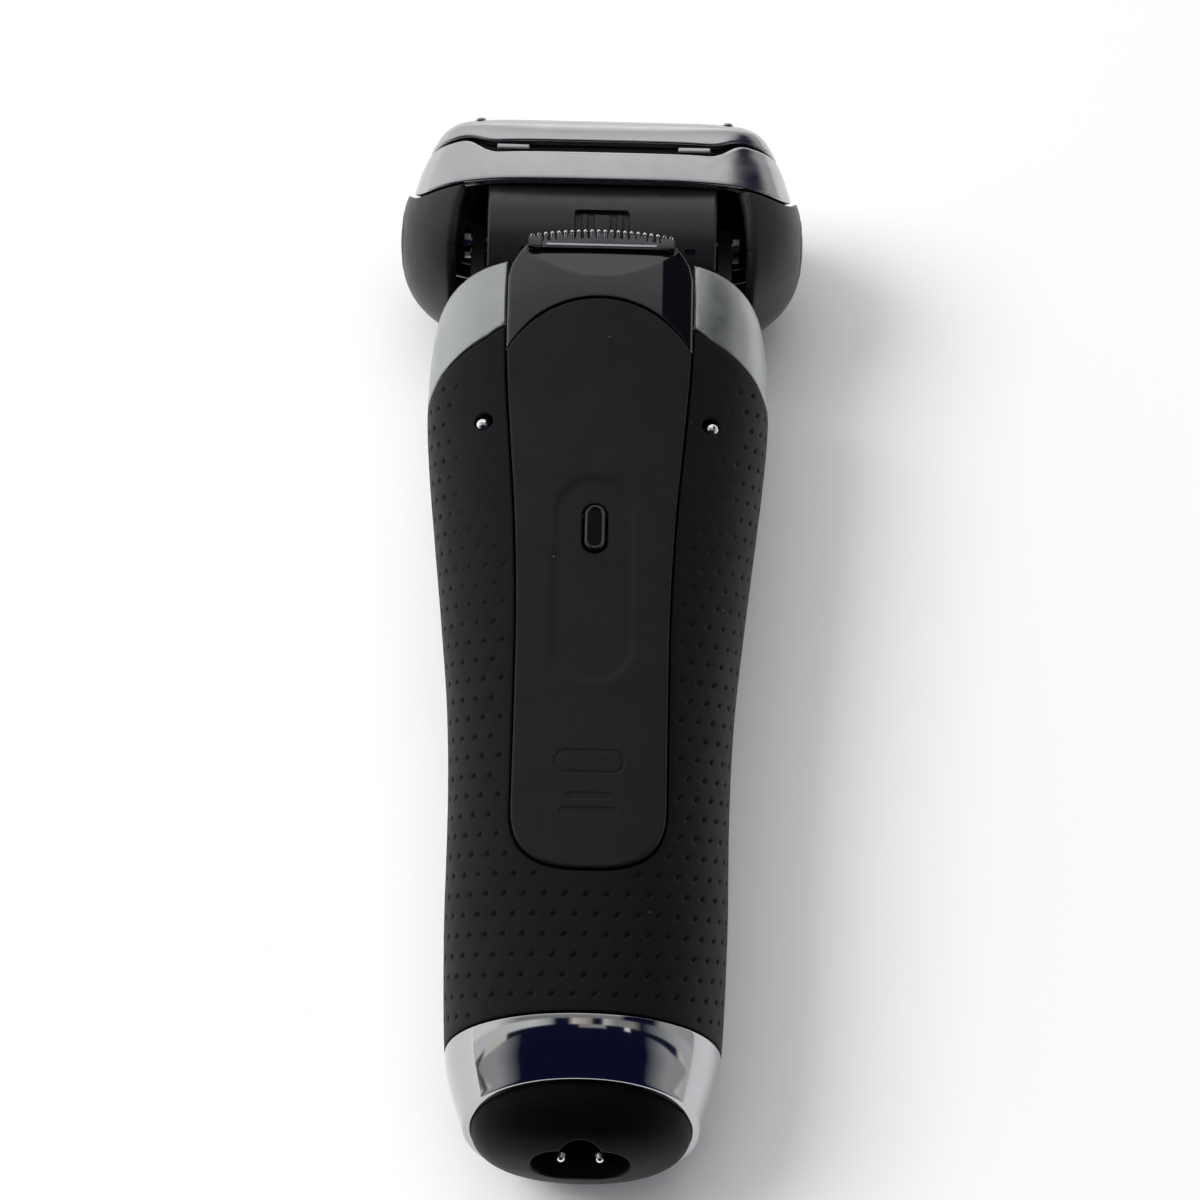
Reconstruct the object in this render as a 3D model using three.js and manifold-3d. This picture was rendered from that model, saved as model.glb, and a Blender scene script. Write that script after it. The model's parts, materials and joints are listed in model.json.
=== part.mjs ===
// Cordless foil shaver lying on its front: a tilting head with a lift-off foil cassette, a slide-up trimmer
// on the back, and a gripped handle that holds the battery, the board and the charging socket.
// Millimetres. +X is the width, +Y runs from the foot to the foils, +Z is up, from the front to the back.
// Y stations are counted from just above the tip of the foot; the finished group is moved so that Y = 0 is
// mid-length.
import * as THREE from 'three';
import { LoftGeometry } from 'three/addons/geometries/LoftGeometry.js';
import { mergeVertices } from 'three/addons/utils/BufferGeometryUtils.js';
import Module from 'manifold-3d';

const wasm = await Module();
wasm.setup();

// ---- driving dimensions ----
const FOOT = -1.2; // tip of the foot
const TOP = 169.9; // crown of the foils
const GAP = 0.3; // between neighbours that touch on the real object
const WALL = 1.9; // handle shells
const MID_Z = 17; // middle of the handle's thickness at the foot
const PIVOT_Y = 154; // head tilt axis
const PIVOT_Z = 18;
const CORE_R = 14; // barrel of the head around the tilt axis
const CORE_HALF = 18.2;
const EAR_R = 15.8; // side covers of the head, round about the tilt axis
const EAR_BASE = 19;
const EAR_RISE = 13.5;
const SADDLE_R = 14.6; // chassis end, concentric with the core
const NECK_R = 17.4; // neck between the shoulders, concentric too
const HORN_R = 19; // shell ends, concentric with the side covers
const RING_TOP = 16.3; // chrome ring's upper edge
const RIM_Y = 5.7; // where the foot cap starts, at mid-height
const SLIDER_END = 39; // round end of the trimmer slider
const FOIL_R = 3.9;
const FOIL_Z = 7.4; // foil centres either side of the tilt axis
const FOIL_HALF = 19;
const FOIL_AXIS_Y = 166;
const CONTACT = { x: 17.5, y: 112.9 }; // charging contacts on the back
const BUTTON = { y: 93.5, halfWidth: 1.6, halfLength: 3.8 }; // trimmer release

// ---- smooth profiles along the length: [station, value] ----
const HALF_WIDTH = profile([[4.9, 17], [6.5, 17.5], [8.5, 18.2], [11, 19.05], [14, 19.8], [19, 20.3], [35, 20.9],
  [55, 21.1], [70, 21.8], [85, 23.3], [100, 25], [112, 26.3], [121, 26.9], [130, 26.6], [137, 25.3], [142, 22.9],
  [147, 18.5]]);
const BACK_Z = profile([[4.9, 30.2], [7.5, 31.2], [11, 32.4], [15, 33.3], [19, 33.6], [40, 33.9], [70, 34.3],
  [100, 34.9], [120, 34.8], [132, 34.2], [140, 33.4], [147, 32]]);
const FRONT_Z = profile([[4.9, 3.9], [7.5, 2.6], [11, 1], [14, -0.2], [19, -0.5], [24, -0.3], [40, 1], [70, 2],
  [96, 1], [112, -0.3], [120, -0.5], [127, -0.3], [136, 0.9], [147, 4]]);
const SQUARENESS = profile([[8, 2.1], [40, 2.2], [100, 2.4], [125, 2.8], [136, 3.6], [142, 4.2], [147, 4.3]]);
const SLANT = profile([[0, 0.27], [4.9, 0.27], [16.3, 0.055], [26, 0], [147, 0]]);
const SLIDER_HALF = profile([[35, 11.3], [75, 11.35], [85, 11.6], [97, 12.2], [108, 13.1], [120, 14], [131, 14.4],
  [147, 14.4]]);
const SLIDER_TOP = profile([[35, 34.1], [70, 34.6], [100, 35.3], [115, 35.8], [126, 36.7], [135, 37.5], [147, 38]]);
const HEAD_HALF = profile([[154, 31.2], [158, 30.7], [161, 29.9], [163, 29.2], [165, 28.2], [166.6, 27.1],
  [167.6, 26.2], [168.4, 25.2], [168.8, 24.3]]);
const HEAD_DEPTH = profile([[154, 16.6], [158, 16.6], [161, 16.5], [163, 16.3], [165, 16], [166.6, 15.5],
  [167.6, 14.9], [168.4, 14.2], [168.8, 13.5]]);
const HEAD_SQUARENESS = profile([[154, 3.6], [161, 3.9], [165, 4.6], [168.8, 7.5]]);

// ---- materials ----
const finish = (color, roughness, metalness = 0) => new THREE.MeshStandardMaterial({ color, roughness, metalness });
const SATIN = finish(0xa7aba8, 0.35, 0.9);
const CHROME = finish(0xd4d6d8, 0.08, 1);
const RUBBER = finish(0x1c1d1e, 0.75);
const PAD = finish(0x232629, 0.6);
const PLASTIC = finish(0x3a3b3c, 0.5);
const DARK = finish(0x141516, 0.55);
const GLOSS = finish(0x0b0c0e, 0.08);
const STEEL = finish(0xb9bcc0, 0.25, 1);
const COPPER = finish(0xb5703a, 0.35, 1);
const BOARD = finish(0x1d5a34, 0.5);
const CELL = finish(0x2f6ea8, 0.45);

// A cubic curve through [station, value] points with gentle slopes, held level past both ends.
function profile(points) {
  const slope = points.map((p, i) => {
    const [before, after] = [points[Math.max(i - 1, 0)], points[Math.min(i + 1, points.length - 1)]];
    return (after[1] - before[1]) / (after[0] - before[0]);
  });
  return (at) => {
    const y = THREE.MathUtils.clamp(at, points[0][0], points.at(-1)[0]);
    const i = Math.max(1, points.findIndex((p) => p[0] >= y));
    const [[y0, v0], [y1, v1]] = [points[i - 1], points[i]];
    const h = y1 - y0;
    const t = (y - y0) / h;
    return v0 * (2 * t ** 3 - 3 * t ** 2 + 1) + v1 * (3 * t ** 2 - 2 * t ** 3)
      + h * (slope[i - 1] * (t ** 3 - 2 * t ** 2 + t) + slope[i] * (t ** 3 - t ** 2));
  };
}

// ---- solids ----
function solid(geometry) {
  const bare = new THREE.BufferGeometry().setIndex(geometry.index);
  bare.setAttribute('position', geometry.attributes.position);
  const merged = mergeVertices(bare, 1e-4);
  const made = new wasm.Manifold(new wasm.Mesh({
    numProp: 3,
    vertProperties: merged.attributes.position.array,
    triVerts: new Uint32Array(merged.index.array),
  }));
  if (made.volume() < 0) throw new Error('a solid is inside out');
  return made;
}

function geometryOf(made) {
  const { numProp, vertProperties, triVerts } = made.getMesh();
  const position = new Float32Array(vertProperties.length / numProp * 3);
  for (let i = 0; i < position.length / 3; i++)
    position.set(vertProperties.subarray(i * numProp, i * numProp + 3), i * 3);
  const geometry = new THREE.BufferGeometry();
  geometry.setAttribute('position', new THREE.BufferAttribute(position, 3));
  geometry.setIndex(new THREE.BufferAttribute(new Uint32Array(triVerts), 1));
  geometry.computeVertexNormals();
  return geometry;
}

function put(parent, name, made, material, position = [0, 0, 0]) {
  const mesh = new THREE.Mesh(made.isBufferGeometry ? made : geometryOf(made), material);
  mesh.name = name;
  mesh.position.set(...position);
  parent.add(mesh);
  return mesh;
}

const [ALONG_X, ALONG_Y, ALONG_Z] = [[1, 0, 0], [0, 1, 0], [0, 0, 1]].map((axis) => new THREE.Vector3(...axis));
const AXES = {
  x: new THREE.Matrix4().makeBasis(ALONG_Y, ALONG_Z, ALONG_X),
  y: new THREE.Matrix4().makeBasis(ALONG_Z, ALONG_X, ALONG_Y),
  z: new THREE.Matrix4(),
};

// Extrudes an outline along an axis: outlines are drawn in (Y, Z) for x, (Z, X) for y and (X, Y) for z.
function extrude(shape, axis, from, to, curveSegments = 7) {
  const g = new THREE.ExtrudeGeometry(shape, { depth: to - from, bevelEnabled: false, curveSegments });
  return solid(g.translate(0, 0, from).applyMatrix4(AXES[axis]));
}

function box([x0, y0, z0], [x1, y1, z1]) {
  return solid(new THREE.BoxGeometry(x1 - x0, y1 - y0, z1 - z0)
    .translate((x0 + x1) / 2, (y0 + y1) / 2, (z0 + z1) / 2));
}

// A cylinder along an axis, from and to being places on that axis; at gives the other two coordinates, in
// XYZ order.
function rod(axis, from, to, radius, at, segments = 24, tip = radius) {
  const g = new THREE.CylinderGeometry(tip, radius, to - from, segments).translate(0, (from + to) / 2, 0);
  if (axis === 'x') g.rotateZ(-Math.PI / 2).translate(0, at[0], at[1]);
  if (axis === 'y') g.translate(at[0], 0, at[1]);
  if (axis === 'z') g.rotateX(Math.PI / 2).translate(at[0], at[1], 0);
  return solid(g);
}

// A slot shape with round ends, longer along its second coordinate.
function stadium(u, v, halfWidth, halfLength) {
  const shape = new THREE.Shape();
  const straight = halfLength - halfWidth;
  shape.absarc(u, v + straight, halfWidth, 0, Math.PI);
  shape.absarc(u, v - straight, halfWidth, Math.PI, 2 * Math.PI);
  return shape;
}

function rectangle(u0, v0, u1, v1) {
  return new THREE.Shape([[u0, v0], [u1, v0], [u1, v1], [u0, v1]].map((p) => new THREE.Vector2(...p)));
}

const signedPower = (value, power) => Math.sign(value) * Math.abs(value) ** power;

// A closed section at right angles to Y: a superellipse of the given squareness.
function section(y, midZ, halfWidth, halfDepth, squareness, count, slant = 0) {
  return Array.from({ length: count }, (_, i) => {
    const angle = (i / count) * Math.PI * 2;
    const x = halfWidth * signedPower(Math.sin(angle), 2 / squareness);
    const z = halfDepth * signedPower(Math.cos(angle), 2 / squareness);
    return new THREE.Vector3(x, y + slant * z, midZ + z);
  });
}

const loft = (sections) => solid(new LoftGeometry(sections, { capStart: true, capEnd: true }));
const stations = (from, to, steps) => Array.from({ length: steps + 1 }, (_, i) => from + ((to - from) * i) / steps);

// The handle's outer form, inset all round.
function handleForm(from, to, steps, inset, count = 32) {
  return loft(stations(from, to, steps).map((y) => section(y, (BACK_Z(y) + FRONT_Z(y)) / 2, HALF_WIDTH(y) - inset,
    (BACK_Z(y) - FRONT_Z(y)) / 2 - inset, SQUARENESS(y), count, SLANT(y))));
}

// The head's outer form, about the tilt axis, inset all round.
function headForm(from, to, steps, inset, count = 40) {
  return loft(stations(from, to, steps).map((y) => section(y - PIVOT_Y, 0, HEAD_HALF(y) - inset,
    HEAD_DEPTH(y) - inset, HEAD_SQUARENESS(y), count)));
}

// The slider's crowned face: level with its own profile in the middle and lower towards its sides.
const sliderFace = (x, y) => SLIDER_TOP(y) - 1.3 * (x / 14.4) ** 2;

// A plate that follows the slider's face between two depths below it.
function sliderPlate(from, to, steps, above, below) {
  const across = stations(-16, 16, 6);
  return loft(stations(from, to, steps).map((y) => [
    ...across.map((x) => new THREE.Vector3(x, y, sliderFace(x, y) - above)),
    ...across.toReversed().map((x) => {
      const bottom = Math.min(below(x, y), sliderFace(x, y) - above - 0.6);
      return new THREE.Vector3(x, y, bottom);
    }),
  ]));
}

// The slider's outline in plan, grown by a margin, with a round lower end.
function sliderOutline(margin, top, end = SLIDER_END) {
  const half = SLIDER_HALF(end) + margin;
  const corner = 9.5;
  const shape = new THREE.Shape();
  const right = stations(end + corner, top, 9).map((y) => [SLIDER_HALF(y) + margin, y]);
  shape.moveTo(-half + corner + 1, end - margin);
  shape.lineTo(half - corner - 1, end - margin);
  shape.bezierCurveTo(half - 3.4, end - margin, half, end + 3.4, half, end + corner);
  right.forEach(([x, y]) => shape.lineTo(x, y));
  right.toReversed().forEach(([x, y]) => shape.lineTo(-x, y));
  shape.bezierCurveTo(-half, end + 3.4, -half + 3.4, end - margin, -half + corner + 1, end - margin);
  return shape;
}

// The part of the handle that belongs to the rubber grip, seen from the side; shift opens a seam.
function gripSide(shift) {
  const shape = new THREE.Shape();
  shape.moveTo(RING_TOP - 4, 60);
  shape.lineTo(RING_TOP - 4, 12 - shift);
  shape.lineTo(92, 12 - shift);
  shape.bezierCurveTo(108, 12 - shift, 118.6 + shift, 14, 121.4 + shift, 20.8 - shift);
  shape.bezierCurveTo(122.2 + shift, 25, 123.4 + shift, 29, 127.6 + shift, 32.6);
  shape.lineTo(139 + shift, 38);
  shape.lineTo(139 + shift, 60);
  return shape;
}

// Everything past the round end that the handle leaves for the head.
function headRoom(radius, halfWidth) {
  return rod('x', -halfWidth, halfWidth, radius, [PIVOT_Y, PIVOT_Z], 36)
    .add(box([-halfWidth, PIVOT_Y, -10], [halfWidth, PIVOT_Y + 40, 50]));
}

// Cuts away whatever would stand below the table.
const aboveTable = (made) => made.subtract(box([-60, -20, -20], [60, 220, 0]));

// ---- handle ----
function addShells(handle) {
  const body = handleForm(RING_TOP + GAP, 147, 15, 0);
  const hollow = handleForm(RING_TOP - 4, 149, 8, WALL, 24);
  const shell = aboveTable(body.subtract(hollow).subtract(headRoom(HORN_R, 40)));
  const sliderSlot = extrude(sliderOutline(GAP, 150), 'z', 25, 50);

  let grip = shell.intersect(extrude(gripSide(0), 'x', -40, 40)).subtract(sliderSlot);
  for (const side of [-1, 1]) grip = grip.subtract(rod('z', 20, 40, 1.45, [side * CONTACT.x, CONTACT.y], 20));
  put(handle, 'rear_grip', grip, RUBBER);

  const front = shell.subtract(extrude(gripSide(GAP), 'x', -40, 40)).subtract(sliderSlot)
    .subtract(rod('z', -5, 8, 6.6, [0, 100], 32))
    .subtract(extrude(stadium(0, 62, 4.6, 12.6), 'z', -5, 8))
    .subtract(extrude(stadium(0, 130, 4.3, 6.4), 'z', -5, 8));
  put(handle, 'front_shell', front, SATIN);
}

function addFoot(handle) {
  const steps = stations(RIM_Y - 0.6, RING_TOP, 5);
  const ringSection = (y, inset, at = y) => section(at, (BACK_Z(y) + FRONT_Z(y)) / 2, HALF_WIDTH(y) - inset,
    (BACK_Z(y) - FRONT_Z(y)) / 2 - inset, SQUARENESS(y), 32, SLANT(y));
  const wall = 1;
  const outer = loft(steps.map((y) => ringSection(y, 0)));
  const inner = loft([ringSection(steps[0], wall, steps[0] - 3), ...steps.map((y) => ringSection(y, wall)),
    ringSection(RING_TOP, wall, RING_TOP + 3)]);
  put(handle, 'base_ring', aboveTable(outer.subtract(inner)), CHROME);

  // The cap is a dome with a collar that sits in the ring, and a pocket for the power plug.
  const [half, depth] = [15.95, 12.05];
  const dome = [0.03, 0.12, 0.3, 0.55, 0.8, 1].map((t) => {
    const size = (1 - (1 - t) ** 2.3) ** (1 / 2.1);
    const station = FOOT + (RIM_Y - FOOT) * (t - 0.03) / 0.97;
    return section(station, MID_Z, half * size, depth * size, 2.1, 28, SLANT(0) * t);
  });
  const collar = [section(RIM_Y + 4.2, MID_Z, half, depth, 2.1, 28, SLANT(0))];
  const pocket = extrude(stadium(19, 0, 4.4, 7.1), 'y', -4, 8.4).add(rod('y', -4, 8.4, 3.1, [0, 22.4], 20));
  put(handle, 'base_cap', loft([...dome, ...collar]).subtract(pocket), DARK);

  for (const [side, name] of [[-1, 'left'], [1, 'right']])
    put(handle, `socket_pin_${name}`, new THREE.CapsuleGeometry(0.75, 6.4, 2, 12), STEEL,
      [side * 2.78, 3.9, 18.6]);
  put(handle, 'socket_block', box([-9, 13.2, 13], [9, 17, 25]), PLASTIC);
}

function addContacts(handle) {
  for (const [side, name] of [[-1, 'left'], [1, 'right']]) {
    const profileOfPin = [[0, -5], [1.5, -5], [1.5, -4.2], [1.1, -4.2], [1.1, -1.1], [0.9, -0.45], [0.5, -0.1],
      [0, 0]];
    const pin = new THREE.LatheGeometry(profileOfPin.map((p) => new THREE.Vector2(...p)), 14).rotateX(Math.PI / 2);
    put(handle, `charge_contact_${name}`, pin, STEEL, [side * CONTACT.x, CONTACT.y, 32]);
  }
}

function addInside(handle) {
  // Tray along the handle, with the saddle that the head rolls in.
  const outline = new THREE.Shape([[-14, 24], [14, 24], [16, 80], [18, 118], [18, 133], [-18, 133], [-18, 118],
    [-16, 80]].map((p) => new THREE.Vector2(...p)));
  const saddle = handleForm(132, 148, 4, WALL + 1.5, 24).intersect(box([-18.4, 132, 2], [18.4, 150, 40]))
    .subtract(headRoom(SADDLE_R, 40))
    .subtract(box([-15, 120, 8], [15, 160, 26]));
  const bed = box([-13.8, 127, 24], [13.8, 141.5, 31.6]).subtract(headRoom(CORE_R + 0.8, 40))
    .subtract(box([-12, 120, 20], [12, 132, 30]));
  // Neck: shows between the shoulders and the head, either side of the slider.
  const neck = handleForm(134, 147, 5, 0.8).subtract(handleForm(133, 148, 5, 4.4, 24))
    .intersect(rod('x', -20.4, 20.4, HORN_R - GAP, [PIVOT_Y, PIVOT_Z], 36))
    .intersect(box([-20.4, 130, 23], [20.4, 150, 40]))
    .subtract(headRoom(NECK_R, 40))
    .subtract(box([-14.8, 130, 20], [14.8, 150, 40]));
  const tray = extrude(outline, 'z', 15, 16.6).add(saddle).add(bed).add(neck);
  put(handle, 'chassis', tray, DARK);

  put(handle, 'battery', rod('y', 30, 79, 6.4, [0, 23.4], 24), CELL);
  for (const [name, y0, y1] of [['battery_tab_negative', 28.9, 29.7], ['battery_tab_positive', 79.3, 80.1]])
    put(handle, name, box([-3, y0, 19], [3, y1, 27]), STEEL);
  const board = extrude(rectangle(-11, 28, 11, 124), 'z', 9.4, 11);
  put(handle, 'circuit_board', board, BOARD);
  put(handle, 'display_board', box([-6, 52, 5.2], [6, 72, 6.4]), BOARD);
}

function addYoke(handle) {
  for (const [side, name] of [[-1, 'left'], [1, 'right']]) {
    const arm = new THREE.Shape();
    arm.moveTo(134, PIVOT_Z - 4.4);
    arm.lineTo(PIVOT_Y - 8, PIVOT_Z - 4);
    arm.absarc(PIVOT_Y, PIVOT_Z, 3.3, -Math.PI / 2, Math.PI / 2);
    arm.lineTo(PIVOT_Y - 8, PIVOT_Z + 4);
    arm.lineTo(134, PIVOT_Z + 4.4);
    const [near, far] = side < 0 ? [-20.9, -18.8] : [18.8, 20.9];
    const cheek = extrude(arm, 'x', near, far).subtract(rod('x', near - 1, far + 1, 1.8, [PIVOT_Y, PIVOT_Z], 16));
    put(handle, `yoke_${name}`, cheek, PLASTIC);
    const pin = rod('x', 16.8, 21.2, 1.45, [PIVOT_Y, PIVOT_Z], 16)
      .add(rod('x', 21.2, 22.2, 2.6, [PIVOT_Y, PIVOT_Z], 16));
    put(handle, `pivot_pin_${name}`, side > 0 ? pin : pin.mirror([1, 0, 0]), STEEL);
  }
}

function addControls(handle) {
  // Power button in its bezel, display window and head lock, all on the front.
  const bezel = new THREE.LatheGeometry([[5.3, 0.55], [6.3, 0.7], [6.3, 2.6], [5.3, 2.6], [5.3, 0.55]]
    .map((p) => new THREE.Vector2(...p)), 28).rotateX(Math.PI / 2);
  put(handle, 'button_bezel', bezel, CHROME, [0, 100, 0]);
  put(handle, 'power_button', rod('z', 0.9, 3.4, 5, [0, 100], 32, 5), PLASTIC);
  const window = extrude(stadium(0, 62, 4.3, 12.3), 'z', 1.9, 3.6);
  put(handle, 'display_window', window, GLOSS);
  const lockBed = extrude(stadium(0, 130, 4, 6.1), 'z', 1.5, 2.5);
  put(handle, 'lock_bed', lockBed, DARK);
  let knob = extrude(stadium(0, 128.6, 2.7, 3.4), 'z', 0.3, 1.25);
  for (const y of [127.4, 128.6, 129.8]) knob = knob.subtract(box([-4, y - 0.25, -1], [4, y + 0.25, 0.6]));
  put(handle, 'head_lock_knob', knob, SATIN);
}

// ---- long-hair trimmer on the back ----
function addTrimmer(shaver) {
  const trimmer = new THREE.Group();
  shaver.add(trimmer);
  const padTop = 132.4;

  // The soft pad ends in an arc below the glossy head of the slider.
  const arcRadius = 16.3;
  const padEnd = rod('z', 20, 50, arcRadius, [0, padTop - arcRadius], 56)
    .add(box([-20, 0, 20], [20, padTop - arcRadius, 50]));
  const thumbRest = sliderPlate(60, 112, 6, -1, (x, y) => sliderFace(x, y) - 0.45)
    .intersect(extrude(stadium(0, 85.2, 6.4, 17.3), 'z', 20, 50));
  const pad = sliderPlate(SLIDER_END - 1, 137, 12, 0, (x, y) => sliderFace(x, y) - 1.5)
    .intersect(extrude(sliderOutline(0, 137), 'z', 25, 50))
    .intersect(padEnd)
    .subtract(thumbRest)
    .subtract(extrude(stadium(0, BUTTON.y, BUTTON.halfWidth + GAP, BUTTON.halfLength + GAP), 'z', 20, 50));
  put(trimmer, 'trimmer_pad', pad, PAD);

  // Carrier: a tray under the pad and the glossy head that holds the comb.
  const floor = profile([[35, 30.2], [70, 31], [100, 31.8], [118, 32.2], [126, 33.1], [132, 34.9], [147, 34.9]]);
  const under = (x, y) => Math.min(floor(y), sliderFace(x, y) - 0.9);
  const keep = rod('z', 20, 50, arcRadius + GAP, [0, padTop - arcRadius], 56)
    .add(box([-20, 0, 20], [20, padTop - arcRadius, 50]));
  const tray = sliderPlate(SLIDER_END + 1.5, 134, 8, 1.8, under)
    .intersect(extrude(sliderOutline(-0.6, 134, SLIDER_END + 1), 'z', 25, 50));
  const head = new THREE.Shape([[-14.4, 114], [14.4, 114], [14.4, 137.2], [13.9, 139.4], [13, 140.9],
    [11.7, 142.6], [-11.7, 142.6], [-13, 140.9], [-13.9, 139.4], [-14.4, 137.2]].map((p) => new THREE.Vector2(...p)));
  const nose = sliderPlate(114, 142.6, 6, 0, under).intersect(extrude(head, 'z', 25, 50)).subtract(keep);
  const carrier = tray.add(nose)
    .subtract(extrude(stadium(0, BUTTON.y, BUTTON.halfWidth + GAP, BUTTON.halfLength + GAP), 'z', 20, 50))
    .subtract(box([-11.7, 140.7, 36.4], [11.7, 146, 50]));
  put(trimmer, 'trimmer_carrier', carrier, GLOSS);

  const face = sliderFace(0, BUTTON.y);
  const button = extrude(stadium(0, BUTTON.y, BUTTON.halfWidth, BUTTON.halfLength), 'z', face - 3, face + 0.1)
    .subtract(extrude(stadium(0, BUTTON.y, 0.8, 2.7), 'z', face - 0.7, face + 2));
  put(trimmer, 'trimmer_release_button', button, GLOSS);

  put(trimmer, 'trimmer_comb', comb(22, 1.03, 141, 143.3, 144.9, 36.7, 37.2), STEEL);
  put(trimmer, 'trimmer_blade', comb(17, 1.25, 141, 142.9, 143.9, 37.5, 38), STEEL);
}

// A flat toothed blade: a bar with teeth towards +Y, whose tips lie on a shallow arc.
function comb(teeth, pitch, back, root, tip, z0, z1) {
  const half = (teeth * pitch) / 2;
  const shape = new THREE.Shape();
  shape.moveTo(-half, back);
  shape.lineTo(half, back);
  shape.lineTo(half, root - 1.1);
  for (let i = teeth - 1; i >= 0; i--) {
    const x = (i - (teeth - 1) / 2) * pitch;
    const drop = 1.1 * (x / half) ** 2;
    shape.lineTo(x + pitch * 0.28, root - drop);
    shape.lineTo(x + pitch * 0.2, tip - drop);
    shape.lineTo(x - pitch * 0.2, tip - drop);
    shape.lineTo(x - pitch * 0.28, root - drop);
  }
  shape.lineTo(-half, root - 1.1);
  return extrude(shape, 'z', z0, z1);
}

// ---- head: everything here is measured from the tilt axis ----
// Side view of the core: round below the axis and straight above it.
function barrel(radius, top) {
  const shape = new THREE.Shape();
  shape.moveTo(top, -radius);
  shape.lineTo(top, radius);
  shape.lineTo(0, radius);
  shape.absarc(0, 0, radius, Math.PI / 2, Math.PI * 1.5);
  return shape;
}

// Region past the curved lower edge of the cassette, seen from the side.
function pastCassetteEdge(shift) {
  const shape = new THREE.Shape();
  const rise = (z) => 8 - 6.2 * THREE.MathUtils.smoothstep(Math.abs(z), 0, 12.5);
  const edge = stations(-18, 18, 18).map((z) => [rise(z) + shift, z]);
  shape.moveTo(30, -18);
  shape.lineTo(30, 18);
  edge.toReversed().forEach(([y, z]) => shape.lineTo(y, z));
  return extrude(shape, 'x', -40, 40);
}

// A round dome about the X axis, from the base at |x| = EAR_BASE outwards.
function earDome(inset, side, segments = 28) {
  const radius = EAR_R - inset;
  const points = stations(0, 1, 6).map((t) => {
    const r = radius * (1 - (1 - t) ** 1.6);
    return new THREE.Vector2(r, EAR_BASE + (EAR_RISE - inset) * (1 - (r / radius) ** 2.6) ** (1 / 1.6));
  });
  const outline = [...points, new THREE.Vector2(radius, EAR_BASE - 1), new THREE.Vector2(0, EAR_BASE - 1)];
  const g = new THREE.LatheGeometry(outline.toReversed(), segments).rotateZ(-Math.PI / 2);
  const made = solid(g);
  return side > 0 ? made : made.mirror([1, 0, 0]);
}

function addHeadHousing(head) {
  const pocket = extrude(rectangle(-4.4, -6.6, 4.4, -2.1), 'z', CORE_R - 1.5, CORE_R + 2)
    .subtract(box([-1.3, -8, 0], [1.3, -2.6, 20]))
    .subtract(box([-3.3, -8, 0], [-2.3, -2.6, 20]))
    .subtract(box([2.3, -8, 0], [3.3, -2.6, 20]));
  const core = extrude(barrel(CORE_R, 3.4), 'x', -CORE_HALF, CORE_HALF, 20)
    .subtract(extrude(barrel(CORE_R - 1.8, 6), 'x', -16.4, 16.4, 14))
    .subtract(rod('x', -30, 30, 1.8, [0, 0], 16))
    .subtract(pocket);
  put(head, 'head_core', core, PLASTIC);

  const shelf = loft([section(2.2, 0, 28, 14.8, 3.6, 32), section(3.9, 0, 28, 14.8, 3.6, 32)])
    .intersect(box([-21.4, 0, -20], [21.4, 6, 20]))
    .subtract(box([-CORE_HALF - GAP, 0, -CORE_R - GAP], [CORE_HALF + GAP, 3.75, CORE_R + GAP]))
    .subtract(rod('x', -30, 30, 3.7, [0, 0], 24));
  let deck = loft([section(3.7, 0, 28, 14.8, 3.6, 32), section(4.8, 0, 28, 14.8, 3.6, 32)]).add(shelf);
  for (const z of [-FOIL_Z, FOIL_Z]) deck = deck.subtract(extrude(stadium(z, 0, 3.3, 4.6), 'y', 0, 9));
  put(head, 'head_deck', deck, DARK);

  for (const [side, name] of [[-1, 'left'], [1, 'right']]) {
    const rim = new THREE.Shape([[0, 30], [21.7, 30], [21.7, 3], [22.9, -2], [23.6, -8], [23.7, -30], [0, -30]]
      .map(([x, y]) => new THREE.Vector2(x, y)));
    const mirrored = (made) => (side > 0 ? made : made.mirror([1, 0, 0]));
    const ear = earDome(0, side)
      .subtract(earDome(1.6, side, 24))
      .subtract(mirrored(extrude(rim, 'z', -30, 30)))
      .subtract(mirrored(rod('x', 10, 23.5, EAR_R - 1.6, [0, 0], 32)))
      .subtract(pastCassetteEdge(-0.4))
      .subtract(mirrored(rod('x', 28, 40, 5.3, [0, 0], 24)));
    put(head, `side_cover_${name}`, ear, PLASTIC);
    const button = earDome(0, side).subtract(earDome(1.6, side, 24))
      .intersect(mirrored(rod('x', 25, 40, 5, [0, 0], 24)));
    put(head, `release_button_${name}`, button, PLASTIC);
  }
}

function addMotor(head) {
  const core = box([-15, -11, -4], [15, -8.6, 4]).add(box([-15, -11, -4], [-11, -4, 4]))
    .add(box([11, -11, -4], [15, -4, 4])).add(box([-2.5, -11, -4], [2.5, -4, 4]));
  put(head, 'motor_core', core, STEEL);
  const coil = extrude(rectangle(-6.6, -8, 6.6, 8), 'y', -8.2, -4.4)
    .subtract(extrude(rectangle(-4.4, -2.9, 4.4, 2.9), 'y', -9, 0));
  put(head, 'motor_coil', coil, COPPER);
  for (const [side, name] of [[-1, 'front'], [1, 'rear']]) {
    const block = box([-13, -3.2, Math.min(side * 1.2, side * 9.6)], [13, 0.8, Math.max(side * 1.2, side * 9.6)]);
    const pin = rod('y', 0, 9.4, 1.1, [0, side * FOIL_Z], 16);
    put(head, `armature_${name}`, block.add(pin), STEEL);
    const bellows = new THREE.LatheGeometry([[2.6, 3.9], [3, 3.9], [3, 5.6], [2.6, 6.6], [2.45, 6.6], [2.6, 5.5],
      [2.6, 3.9]]
      .map((p) => new THREE.Vector2(...p)), 14);
    put(head, `pin_seal_${name}`, bellows, RUBBER, [0, 0, side * FOIL_Z]);
  }
}

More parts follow.
